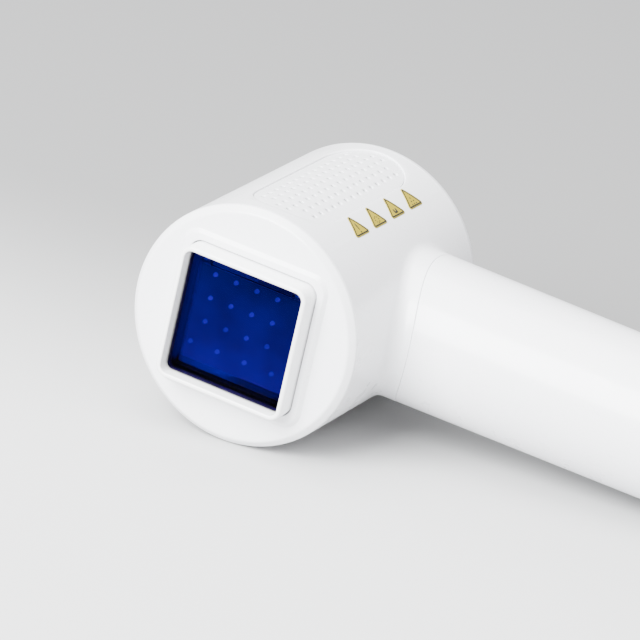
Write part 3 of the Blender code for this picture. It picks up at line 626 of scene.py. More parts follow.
@dataclass(frozen=True)
class Pliable(Finish):
    """Rubber, silicone or shrink film: matt, with a dusty bloom and small dimples.

    Attributes:
        bloom: The sRGB colour of the bloom.
        dimple_mm: The dimples' size.
        sheen: How much the grazing edges lighten.
    """

    bloom: str = "#3a3a3c"
    dimple_mm: float = 0.6
    sheen: float = 0.15

    def build(self) -> bpy.types.Material:
        """Make the material."""
        material, tree, shader, place = self.blank()
        bloom = add_node(tree, "TexNoise", {"Vector": place, "Scale": per_mm(4), "Detail": 4.0})
        dimples = add_node(tree, "TexVoronoi", {"Vector": place, "Scale": per_mm(self.dimple_mm)})
        self.tint(tree, shader, bloom.outputs["Fac"], self.bloom)
        self.wear(tree, shader, bloom.outputs["Fac"], 0.08)
        self.relief(tree, shader, dimples.outputs["Distance"], 0.2, 0.03)
        shader.inputs["Sheen Weight"].default_value = self.sheen
        return material


@dataclass(frozen=True)
class NylonMesh(Finish):
    """Woven nylon filter cloth: two crossing sets of threads, drawn coarse enough to show.

    Attributes:
        thread_mm: The threads' spacing.
        gap: The sRGB colour between them.
    """

    thread_mm: float = 0.4
    gap: str = "#8c8c8e"

    def build(self) -> bpy.types.Material:
        """Make the material."""
        material, tree, shader, place = self.blank()
        waves = [add_node(tree, "TexWave", {"Vector": place, "Scale": per_mm(self.thread_mm) / 20},
                          bands_direction=direction) for direction in "XY"]
        weave = add_node(tree, "Math", {0: waves[0].outputs["Fac"], 1: waves[1].outputs["Fac"]},
                         operation="MULTIPLY")
        self.tint(tree, shader, weave.outputs[0], self.gap)
        self.wear(tree, shader, weave.outputs[0], 0.05)
        self.relief(tree, shader, weave.outputs[0], 0.5, 0.1)
        return material


@dataclass(frozen=True)
class PrintedFilm(Finish):
    """Printed polyester film, or a milky moulding: a flat tone with a slight mottle under satin.

    Attributes:
        mottle: The sRGB colour that the tone drifts to.
    """

    mottle: str = "#ffffff"

    def build(self) -> bpy.types.Material:
        """Make the material."""
        material, tree, shader, place = self.blank()
        ink = add_node(tree, "TexNoise", {"Vector": place, "Scale": per_mm(1.2), "Detail": 5.0})
        self.tint(tree, shader, ink.outputs["Fac"], self.mottle)
        self.wear(tree, shader, ink.outputs["Fac"], 0.05)
        self.relief(tree, shader, ink.outputs["Fac"], 0.1, 0.01)
        return material


@dataclass(frozen=True)
class ClearPiece(Finish):
    """Glass or clear moulding: light goes through, tinted by the colour, and faint ripples bend it.

    Attributes:
        ripple: The ripples' strength.
    """

    ripple: float = 0.02

    def build(self) -> bpy.types.Material:
        """Make the material."""
        material, tree, shader, place = self.blank()
        ripples = add_node(tree, "TexNoise", {"Vector": place, "Scale": per_mm(6), "Detail": 1.0})
        self.wear(tree, shader, ripples.outputs["Fac"], self.roughness * 0.5)
        self.relief(tree, shader, ripples.outputs["Fac"], self.ripple, 0.05)
        shader.inputs["Transmission Weight"].default_value = 1.0
        return material


@dataclass(frozen=True)
class Glow(Finish):
    """A surface that gives its own light, which changes from its lower to its upper edge. It is the emitters' own
    light on their domes, and painted light elsewhere: on the lens sheet, gasket, chamber sheet and board it stands
    for the emitters' spill, with painted shade where the lower colour is black.

    Attributes:
        low_light: The light's sRGB colour at the lower edge.
        high_light: Its colour at the upper edge.
        strength: Its middle strength.
        up: The direction from the lower to the upper edge, in the world.
        span: Where the two edges lie along that direction, in metres.
        patch_mm: The size of the brighter and darker patches.
    """

    low_light: str = "#2010ff"
    high_light: str = "#2010ff"
    strength: float = 1.0
    up: tuple[float, float, float] = (0, 0, 1)
    span: tuple[float, float] = (0.0, 0.06)
    patch_mm: float = 8.0

    def build(self) -> bpy.types.Material:
        """Make the material."""
        material, tree, shader, place = self.blank()
        patches = add_node(tree, "TexNoise", {"Vector": place, "Scale": per_mm(self.patch_mm), "Detail": 1.0})
        power = add_node(tree, "MapRange", {"Value": patches.outputs["Fac"], "From Min": 0.3,
                                            "From Max": 0.7, "To Min": self.strength * 0.8,
                                            "To Max": self.strength * 1.2})
        height = add_node(tree, "VectorMath", {0: place, 1: self.up}, operation="DOT_PRODUCT")
        rise = add_node(tree, "MapRange", {"Value": height.outputs["Value"], "From Min": self.span[0],
                                           "From Max": self.span[1]})
        light = add_node(tree, "Mix", {0: rise.outputs["Result"], 6: srgb(self.low_light),
                                       7: srgb(self.high_light)}, data_type="RGBA")
        tree.links.new(light.outputs[2], shader.inputs["Emission Color"])
        tree.links.new(power.outputs["Result"], shader.inputs["Emission Strength"])
        shader.inputs["Specular IOR Level"].default_value = 0.1
        return material


@dataclass(frozen=True)
class Backdrop(Finish):
    """Matt backdrop paper, its colour changing softly from a far grey to a pale near tone: painted shade that
    stands for the light falling off into the distance.

    Attributes:
        near: The near tone's sRGB colour.
        band: Where the change starts and ends, in metres along +Y.
    """

    near: str = "#c9c9c9"
    band: tuple[float, float] = (-0.09, 0.12)

    def build(self) -> bpy.types.Material:
        """Make the material."""
        material, tree, shader, place = self.blank()
        depth = add_node(tree, "SeparateXYZ", {0: place}).outputs["Y"]
        change = add_node(tree, "MapRange", {"Value": depth, "From Min": self.band[1],
                                             "From Max": self.band[0]}, interpolation_type="SMOOTHSTEP")
        self.tint(tree, shader, change.outputs["Result"], self.near)
        shader.inputs["Specular IOR Level"].default_value = 0.0
        return material


class Finishes:
    """The materials of the pieces, each made once."""

    def __init__(self, axes: DeviceAxes) -> None:
        """Make every material, with the lit ones placed by the device's axes."""
        # Glossy white ABS: soft wide highlights, slightly wavy, a touch cooler in the clouding.
        self.shell = Moulding("gloss_white_abs", "#eeeef0", 0.3, cloud="#e9eaee", coat=0.25).build()
        # Polished white ABS of the skin frame and the keys: a little brighter and smoother.
        self.frame = Moulding("polished_white_abs", "#f6f6f6", 0.22, cloud="#f1f2f4", coat=0.35).build()
        # Grey glass-filled nylon of the inner carriers: dull, with a grainy skin.
        self.inner = Moulding("grey_filled_nylon", "#a4a6a9", 0.55, cloud="#94979b", peel_mm=0.5,
                              peel=0.2).build()
        # Black PBT of switches, fan and socket: dull charcoal with a fine grain.
        self.black = Moulding("black_pbt", "#18181a", 0.5, cloud="#222226", peel_mm=0.5, peel=0.15).build()
        # Anodised aluminium trim: pale satin with fine drawn lines.
        self.trim = DrawnMetal("anodised_aluminium", "#d3d5d8", 0.28, 1.0, dull="#bfc1c5").build()
        # Extruded aluminium of the heat sink: duller, coarser die lines.
        self.sink = DrawnMetal("extruded_aluminium", "#c3c5c8", 0.4, 1.0, streak_mm=0.5).build()
        # Zinc-plated steel: grey with a faint blue drift.
        self.steel = DrawnMetal("zinc_plated_steel", "#a9acb2", 0.33, 1.0, dull="#8d9199", stretch=3).build()
        # Polished brass contact.
        self.brass = DrawnMetal("polished_brass", "#d9b866", 0.22, 1.0, dull="#c09a48", stretch=8).build()
        # Green solder mask over glass fibre.
        self.board = CircuitBoard("green_solder_mask", "#0f4a2a", 0.4).build()
        # Enamelled copper windings under varnish.
        self.copper = Wound("varnished_copper", "#b56a35", 0.35).build()
        # Blue shrink film over the capacitor's can.
        self.sleeve = Pliable("blue_shrink_film", "#16336e", 0.35, bloom="#1d3f82", sheen=0.05).build()
        # Black silicone of the window's gasket.
        self.rubber = Pliable("black_silicone", "#101012", 0.7, bloom="#1c1c1f").build()
        # Red silicone insulation of the lamp leads.
        self.lead = Pliable("red_silicone", "#7d1414", 0.5, bloom="#8c1f1c").build()
        # Pale nylon filter cloth behind the vents.
        self.cloth = NylonMesh("pale_nylon_mesh", "#d6d6d6", 0.8, gap="#c2c2c4").build()
        # The filter: deep blue borosilicate glass. Its coating stops nearly all reflection, so its
        # index is far below the bare glass's 1.47.
        self.glass = ClearPiece("blue_filter_glass", "#3f2795", 0.02, ior=1.06).build()
        # Clear polycarbonate and lamp glass.
        self.clear = ClearPiece("clear_polycarbonate", "#f2f6ff", 0.06, ior=1.58).build()
        # Milky polycarbonate of the light guide: grey-white while the lights are off.
        self.milky = PrintedFilm("milky_polycarbonate", "#b4bac4", 0.35, mottle="#bcc2cb").build()
        # The lens sheet over the emitters, with painted light standing for the emitters' light in it: a dim deep
        # blue glow, more violet at the bottom.
        up = tuple(axes.up)
        self.painted_glow_sheet = Glow("lens_sheet_painted_glow", "#000004", 0.4, low_light="#9500ff", high_light="#4058b0",
                              strength=0.85, up=up, span=axes.heights(-14.0, 13.0)).build()
        # The lit emitter domes.
        self.emitter = Glow("lit_emitter", "#000004", 0.3, low_light="#7000ff", high_light="#7c10ff",
                            strength=1.7, up=up, span=axes.heights(-10.0, 10.0)).build()
        # Black chamber sheet, gasket and board round the emitters, with painted light standing for the emitters'
        # spill on them and painted shade in a dark band along the bottom.
        self.painted_spill_liner = Glow("chamber_black_painted_spill_and_shade", "#000002", 0.5, low_light="#000000", high_light="#4000b0",
                          strength=0.7, up=up, span=axes.heights(-15.0, -13.4)).build()
        # Label inks: warm yellow and soft black on satin film.
        self.yellow = PrintedFilm("yellow_label_ink", "#988800", 0.5, mottle="#918000").build()
        self.ink = PrintedFilm("black_label_ink", "#0a0804", 0.5, mottle="#0d0b06").build()

    def for_slot(self, slot: str) -> bpy.types.Material:
        """The material of a plain model node, by the record's slot."""
        # The dark sheet takes the chamber's black with painted spill light and painted shade.
        return {"shell_white": self.shell, "trim_aluminium": self.trim, "filter_glass": self.glass,
                "seal_rubber": self.rubber, "dark_sheet": self.painted_spill_liner, "circuit_board": self.board,
                "clear_lens": self.clear, "steel": self.steel, "inner_moulding": self.inner,
                "black_plastic": self.black, "sink_aluminium": self.sink, "winding_copper": self.copper,
                "capacitor_sleeve": self.sleeve, "contact_brass": self.brass, "label_yellow": self.yellow,
                "lead_insulation": self.lead, "filter_fabric": self.cloth}[slot]


# ------------------------------------------------------------------ the head

@dataclass
class Head:
    """The round head's casing: barrel with neck, vent grilles, front cover, rear cap and labels.

    Attributes are in millimetres.
    """

    shop: Workshop
    finishes: Finishes
    radius: float = 32.0
    wall: float = 2.4
    front: float = 0.06
    rear: float = 66.74
    vent_centre: float = 33.4
    vent_half_length: float = 30.0
    vent_half_width: float = 11.77
    vent_rim: float = 1.4
    recess: float = 1.3
    grille_top: float = -0.4
    grille_bottom: float = -1.0
    hole_radius: float = 0.6
    hole_pitch: float = 3.55
    row_pitch: float = 32.0 * radians(5.5)
    handle_y: float = 41.0
    root_radius: float = 20.2
    fillet: float = 3.5
    seam_radius: float = 36.8
    spigot_radius: float = 17.7
    bore: float = 16.2
    neck_end: float = 46.0
    block_half: float = 16.0
    vent_steps: tuple[int, int] = (14, 28)
    neck_steps: tuple[int, int] = (29, 28)

    def rolled(self, point: Vector) -> Vector:
        """Where a point of the flat layout lies on the head."""
        turn, reach = point.x / self.radius, self.radius + point.z
        return Vector((reach * sin(turn), point.y, reach * cos(turn)))

    def neck_point(self, theta: float, blend: float) -> Vector:
        """A point of the rolling ball's fillet: blend 0 on the head, 1 on the handle's root."""
        reach = self.root_radius + self.fillet
        centre = Vector((sqrt((self.radius + self.fillet) ** 2 - (reach * sin(theta)) ** 2),
                         self.handle_y + reach * cos(theta), reach * sin(theta)))
        to_head = Vector((-centre.x, 0, -centre.z)).normalized()
        return centre + self.fillet * to_head.slerp(Vector((0, -cos(theta), -sin(theta))), blend)

    def saddle_point(self, theta: float, radius: float, reach: float) -> Vector:
        """A point at a radius from the handle's axis and a reach from the head's axis."""
        z = radius * sin(theta)
        return Vector((sqrt(reach ** 2 - z ** 2), self.handle_y + radius * cos(theta), z))

    def barrel(self) -> None:
        """Build the barrel shell with its recesses and neck."""
        skin = Layout()
        middle, half = (self.front + self.rear) / 2, (self.rear - self.front) / 2
        round_length = 2 * pi * self.radius
        neck_half = round_length / 4 - self.block_half
        neck_centre = round_length / 4
        thetas = [atan2(-p.x, p.y + middle - self.handle_y)
                  for p in border((neck_half, half), self.neck_steps)]
        outer = RoundedRectangle(self.vent_half_width, self.vent_half_length, self.vent_half_width)
        count = 4 * sum(self.vent_steps)
        edge = 0.2

        for out in (0.0, -self.wall):
            low, high = round_length / 2 + self.block_half, round_length - self.block_half
            skin.panel((low, self.front), (high, self.rear), (58, 2 * self.vent_steps[1]), out)
        for centre in (0.0, round_length / 2):
            place = (centre, middle)
            shift = Vector((0, self.vent_centre - middle))
            hole = [Vector(p) + shift for p in outer.loop(count, edge)]
            loop = skin.pierced(place, (self.block_half, half), self.vent_steps, 0.0, hole, 5)
            steps = [(edge * (1 - sin(radians(a))), -edge * (1 - cos(radians(a)))) for a in (30, 60, 90)]
            steps += [(0, -self.recess), (-self.vent_rim, -self.recess), (-self.vent_rim, -self.wall)]
            for offset, out in steps:
                ring = [(centre + p[0], self.vent_centre + p[1], out) for p in outer.loop(count, offset)]
                loop = skin.grow(loop, ring)
            inner = [Vector(p) + shift for p in outer.loop(count, -self.vent_rim)]
            skin.pierced(place, (self.block_half, half), self.vent_steps, -self.wall, inner, 5)
        foot = [Vector((-self.radius * asin(self.neck_point(t, 0).z / self.radius),
                        self.neck_point(t, 0).y - middle)) for t in thetas]
        foot_loop = skin.pierced((neck_centre, middle), (neck_half, half), self.neck_steps, 0.0, foot, 8)
        inside = self.radius - self.wall
        bore = [Vector((-self.radius * asin(self.bore * sin(t) / inside),
                        self.handle_y - middle + self.bore * cos(t))) for t in thetas]
        skin.pierced((neck_centre, middle), (neck_half, half), self.neck_steps, -self.wall, bore, 6)
        skin.shape(self.rolled)
        self.rims(skin)
        self.neck(skin, foot_loop, thetas)
        skin.weld()
        self.shop.finish("barrel_casing", skin.bm, [self.finishes.shell], "shell_white", ["barrel_shell"])

    def rims(self, skin: Skin) -> None:
        """Close the barrel's front and rear ends between its outer and inner walls."""
        bmesh.ops.remove_doubles(skin.bm, verts=skin.bm.verts, dist=0.002)
        for along in (self.front, self.rear):
            edges = [e for e in skin.bm.edges if e.is_boundary
                     and all(abs(v.co.y - along) < 0.001 for v in e.verts)]
            bmesh.ops.bridge_loops(skin.bm, edges=edges)

    def neck(self, skin: Skin, foot: Loop, thetas: list[float]) -> None:
        """Grow the neck from its foot on the barrel: fillet, seam edge, spigot and bore."""
        edge = 0.08
        rings = [[self.neck_point(t, blend / 8) for t in thetas] for blend in range(1, 9)]
        for shrink, back in ((0, edge * 4), (0, edge), (0.025, 0.025), (edge, 0)):
            rings.append([self.saddle_point(t, self.root_radius - shrink, self.seam_radius - back)
                          for t in thetas])
        rings.append([self.saddle_point(t, self.spigot_radius, self.seam_radius) for t in thetas])
        for radius in (self.spigot_radius, self.bore):
            rings.append([Vector((self.neck_end, self.handle_y + radius * cos(t), radius * sin(t)))
                          for t in thetas])
        rings.append([self.saddle_point(t, self.bore, self.radius - self.wall) for t in thetas])
        skin.grow(foot, *rings)

    def hole_places(self) -> Iterator[tuple[float, float]]:
        """The grille holes' places about its middle; the two middle rows are longer."""
        for row in range(6):
            extra = 1 if row in (2, 3) else 0
            for column in range(-extra, 14 + extra):
                yield (row - 2.5) * self.row_pitch, (column - 6.5) * self.hole_pitch

    def grille_plan(self) -> list[Vector]:
        """The outline of the grille's cells, a step-edged cross, in quarter-cell steps."""
        a, b = 3 * self.row_pitch, 7 * self.hole_pitch
        inner, reach = self.row_pitch, 8 * self.hole_pitch
        quarter = [(a, 0), (a, b), (inner, b), (inner, reach), (0, reach)]
        half = quarter + [(-x, y) for x, y in reversed(quarter[:-1])]
        corners = [Vector(p) for p in half] + [Vector((-x, -y)) for x, y in half[1:-1]]
        plan = []
        for one, other in zip(corners, corners[1:] + corners[:1]):
            step = (self.row_pitch if abs(one.x - other.x) > 0.01 else self.hole_pitch) / 4
            count = round((other - one).length / step)
            plan += [one.lerp(other, i / count) for i in range(count)]
        return plan

    def grille_edge(self, point: Vector, offset: float) -> Vector:
        """The stadium's point that faces a point of the grille's plan."""
        radius = self.vent_half_width + offset
        reach = self.vent_half_length - self.vent_half_width
        if abs(point.y) <= reach:
            return Vector((radius if point.x > 0 else -radius, point.y))
        end = Vector((0, reach if point.y > 0 else -reach))
        return end + (point - end).normalized() * radius

    def grille(self, name: str, centre: float) -> None:
        """Build one perforated vent plate.

        Args:
            name: The node that it replaces.
            centre: Its middle in the layout's round direction.
        """
        skin = Layout()
        cell = (self.row_pitch / 2, self.hole_pitch / 2)
        disc = RoundedRectangle(self.hole_radius, self.hole_radius, self.hole_radius)
        for across, along in self.hole_places():
            place = (centre + across, self.vent_centre + along)
            loop = skin.pierced(place, cell, (2, 2), self.grille_top, disc.loop(16, 0.1), 2)
            for offset, out in ((0.03, -0.04), (0, -0.12), (0, self.grille_bottom - self.grille_top)):
                loop = skin.grow(loop, [(place[0] + p[0], place[1] + p[1], self.grille_top + out)
                                        for p in disc.loop(16, offset)])
            skin.pierced(place, cell, (2, 2), self.grille_bottom, disc.loop(16), 1)
        plan = self.grille_plan()
        middle = Vector((centre, self.vent_centre))
        sides = []
        for out in (self.grille_top, self.grille_bottom):
            edge = [self.grille_edge(p, -0.15 - (0.1 if out == self.grille_top else 0)) for p in plan]
            rings = [flat([p + middle for p in between(plan, edge, band / 3)], out) for band in (1, 2, 3)]
            sides.append(skin.grow(skin.start(flat([p + middle for p in plan], out)), *rings))
        wall = [flat([self.grille_edge(p, -0.15 - 0.1 * (1 - sin(radians(a)))) + middle for p in plan],
                     self.grille_top - 0.1 * (1 - cos(radians(a)))) for a in (45, 90)]
        wall.append([tuple(v.co) for v in sides[1]])
        skin.grow(sides[0], *wall)
        skin.shape(self.rolled)
        skin.weld()
        self.shop.finish(name + "_plate", skin.bm, [self.finishes.shell], "shell_white", [name])

    def front_cover(self) -> None:
        """Build the front cover: rim, face, raised pedestal and window opening."""
        foot = RoundedRectangle(21.4, 21.4, 5.0)
        opening = RoundedRectangle(18.7, 18.7, 3.7)
        count, face, top = 192, -2.1, -2.95
        rim = rounded_path([(29.2, 6), (29.2, 0), (31.94, 0, 0.06), (32, -0.4, 0.9), (30.3, face, 1.2),
                            (29.4, face)], 5)
        upright = rounded_path([(0.7, face), (0, face, 0.35), (-1.0, top, 0.45), (-1.8, top)], 5)
        hole = rounded_path([(0.8, top), (0, top, 0.25), (0, -0.5)], 4)
        skin = Skin()

        def ring(points: Iterable[Point], along: float) -> list[tuple[float, float, float]]:
            """Plane points laid across the head's axis."""
            return [(p[0], along, p[1]) for p in points]

        start = skin.start(ring(foot.circle(count, rim[0].x), rim[0].y))
        loop = skin.grow(start, *(ring(foot.circle(count, p.x), p.y) for p in rim[1:]))
        spread = [between(foot.circle(count, 29.4), foot.loop(count, 0.7), share) for share in (0.5, 1)]
        loop = skin.grow(loop, *(ring(points, face) for points in spread))
        loop = skin.grow(loop, *(ring(foot.loop(count, p.x), p.y) for p in upright[1:]))
        loop = skin.grow(loop, *(ring(opening.loop(count, p.x), p.y) for p in hole))
        loop = skin.grow(loop, *(ring(foot.circle(count, r), y) for r, y in ((27.9, -0.5), (27.9, 6))))
        skin.close(loop, start)
        skin.weld()
        self.shop.finish("front_cover_moulding", skin.bm, [self.finishes.shell], "shell_white",
                         ["front_cover"], sharp=50)

    def rear_cap(self) -> None:
        """Build the rear cap with its rounded rim, key hole and level-light holes."""
        face, count = 71.9, 192
        floor = face - 2
        rim = rounded_path([(25.5, face), (32, face, 5.0), (32, 66.8, 0.06), (29.2, 66.8), (29.2, 61),
                            (27.9, 61), (27.9, floor, 2.0), (24.5, floor)], 10)
        skin = Skin()
        disc = RoundedRectangle(1, 1, 1)

        def ring(centre: Point, radius: float, along: float, steps: int) -> list[tuple[float, float, float]]:
            """A circle across the head's axis."""
            return [(centre[0] + radius * p[0], along, centre[1] + radius * p[1]) for p in disc.loop(steps)]

        outer = skin.start(ring((0, 0), rim[0].x, rim[0].y, count))
        inner = skin.grow(outer, *(ring((0, 0), p.x, p.y, count) for p in rim[1:]))
        tops, floors = [outer], [inner]
        places = [((0.0, 0.0), 6.15, 96)] + [(place, 1.2, 32) for place in level_places()]
        for centre, radius, steps in places:
            top = skin.start(ring(centre, radius + 0.15, face, steps))
            bottom = skin.grow(top, ring(centre, radius + 0.045, face - 0.045, steps),
                               ring(centre, radius, face - 0.15, steps), ring(centre, radius, floor, steps))
            tops.append(top)
            floors.append(bottom)
        skin.fill(*tops)
        skin.fill(*floors)
        skin.weld()
        self.shop.finish("rear_cap_moulding", skin.bm, [self.finishes.shell], "shell_white", ["rear_cap"])

    def build(self) -> None:
        """Build all of the head's casing."""
        self.barrel()
        self.grille("vent_grille_upper", 0.0)
        self.grille("vent_grille_lower", pi * self.radius)
        self.front_cover()
        self.rear_cap()


def level_places() -> list[tuple[float, float]]:
    """The level lights' places on an arc above the power key."""
    turns = [radians(90 + 22 * step) for step in range(-2, 3)]
    return [(15.0 * cos(turn), 15.0 * sin(turn)) for turn in turns]


class Mark(Enum):
    """The plain marks printed on the labels."""

    BAR = "bar"
    RING = "ring"
    CHEVRON = "chevron"
    DOTS = "dots"


@dataclass
class Label:
    """A small triangular film label bent round the head, its tip towards the vent.

    Attributes:
        shop: The workshop.
        finishes: The materials.
        node: The node that it replaces.
        mark: Its printed mark.
        along: Its middle along the head, in millimetres.
        angle: Its middle's angle from the head's top, in degrees.
        side: The triangle's side before its corners are rounded, in millimetres, as are all below.
        corner: Its corners' radius.
        tip_shift: How far it stands away from the vent's side of its angle.
        margin: The yellow margin's width.
        border: The black border's width.
        lift: The film's height over the head.
        ink_lift: The marks' height over the film.
        film: The film's thickness.
        head_radius: The head's radius.
    """

    shop: Workshop
    finishes: Finishes
    node: str
    mark: Mark
    along: float
    angle: float = 29.0
    side: float = 8.0
    corner: float = 0.7
    tip_shift: float = 0.18
    margin: float = 0.28
    border: float = 0.44
    lift: float = 0.1
    ink_lift: float = 0.015
    film: float = 0.08
    head_radius: float = 32.0

    def outline(self, inset: float, steps: int = 12) -> list[Vector]:
        """The rounded triangle's points, moved in by an inset; the tip points to lower angles."""
        corner = self.corner
        inradius = self.side / (2 * sqrt(3))
        points = []
        for index in range(3):
            turn = radians(180 + 120 * index)
            reach = 2 * (inradius - corner)
            middle = Vector((reach * cos(turn), reach * sin(turn)))
            shrink = max(corner - inset, 0.12)
            slide = (corner - inset - shrink) * 2
            centre = middle + Vector((cos(turn), sin(turn))) * slide
            for step in range(steps):
                bend = turn + radians(-60 + 120 * step / (steps - 1))
                points.append(centre + shrink * Vector((cos(bend), sin(bend))))
            nxt = radians(180 + 120 * (index + 1))
            onward = Vector((cos(nxt), sin(nxt)))
            start, end = points[-1], onward * (reach + slide) + shrink * Vector((
                cos(nxt - radians(60)), sin(nxt - radians(60))))
            points += [start.lerp(end, step / steps) for step in range(1, steps)]
        return points

    def placed(self, points: Iterable[Vector], lift: float) -> list[Vector]:
        """Points of the label's plane laid round the head."""
        made = []
        for point in points:
            turn = radians(self.angle) + (point.x + self.tip_shift) / self.head_radius
            reach = self.head_radius + lift
            made.append(Vector((reach * sin(turn), self.along + point.y, reach * cos(turn))))
        return made

    def patch(self, skin: Skin, points: list[Vector], lift: float) -> None:
        """Lay one inked patch of the mark."""
        middle = sum(points, Vector((0, 0))) / len(points)
        loop = skin.start(self.placed(points, lift))
        loop = skin.grow(loop, self.placed(between(points, [middle] * len(points), 0.5), lift), material=1)
        skin.cap(loop, 1)

    def marks(self) -> list[list[Vector]]:
        """The outlines of the mark's patches."""
        disc = RoundedRectangle(1, 1, 1)

        def dot(x: float, y: float, a: float, b: float) -> list[Vector]:
            """An ellipse about a point."""
            return [Vector((x + a * p[0], y + b * p[1])) for p in disc.loop(16)]

        if self.mark is Mark.BAR:
            return [dot(-0.5, 0, 1.2, 0.24), dot(1.25, 0, 0.26, 0.26)]
        if self.mark is Mark.RING:
            return [dot(0.35 + 0.9 * cos(t * pi / 4), 0.9 * sin(t * pi / 4), 0.2, 0.2) for t in range(8)]
        if self.mark is Mark.CHEVRON:
            return [dot(0.6, side * 0.55, 0.75, 0.32) for side in (-1, 1)] + [dot(1.0, 0, 0.3, 0.9)]
        rows = ((-0.6, 0), (0.4, -0.6), (0.4, 0.6), (1.3, -1.1), (1.3, 0), (1.3, 1.1))
        return [dot(x, y, 0.24, 0.24) for x, y in rows]

    def build(self) -> None:
        """Build the label."""
        skin = Skin()
        inner = self.outline(self.margin + self.border)
        loop = skin.start(self.placed(self.outline(0), self.lift))
        loop = skin.grow(loop, self.placed(self.outline(self.margin), self.lift))
        loop = skin.grow(loop, self.placed(inner, self.lift), material=1)
        rings = [self.placed([p * share for p in inner], self.lift) for share in (0.75, 0.5, 0.25)]
        skin.cap(skin.grow(loop, *rings))
        for points in self.marks():
            self.patch(skin, points, self.lift + self.ink_lift)
        skin.outward()
        away = Vector((sin(radians(self.angle)), 0, cos(radians(self.angle))))
        for face in skin.bm.faces:
            if face.normal.dot(away) < 0:
                face.normal_flip()
        self.shop.finish(self.node + "_film", skin.bm, [self.finishes.yellow, self.finishes.ink],
                         "label_yellow", [self.node], wall=self.film)


# ------------------------------------------------------------------ the treatment window

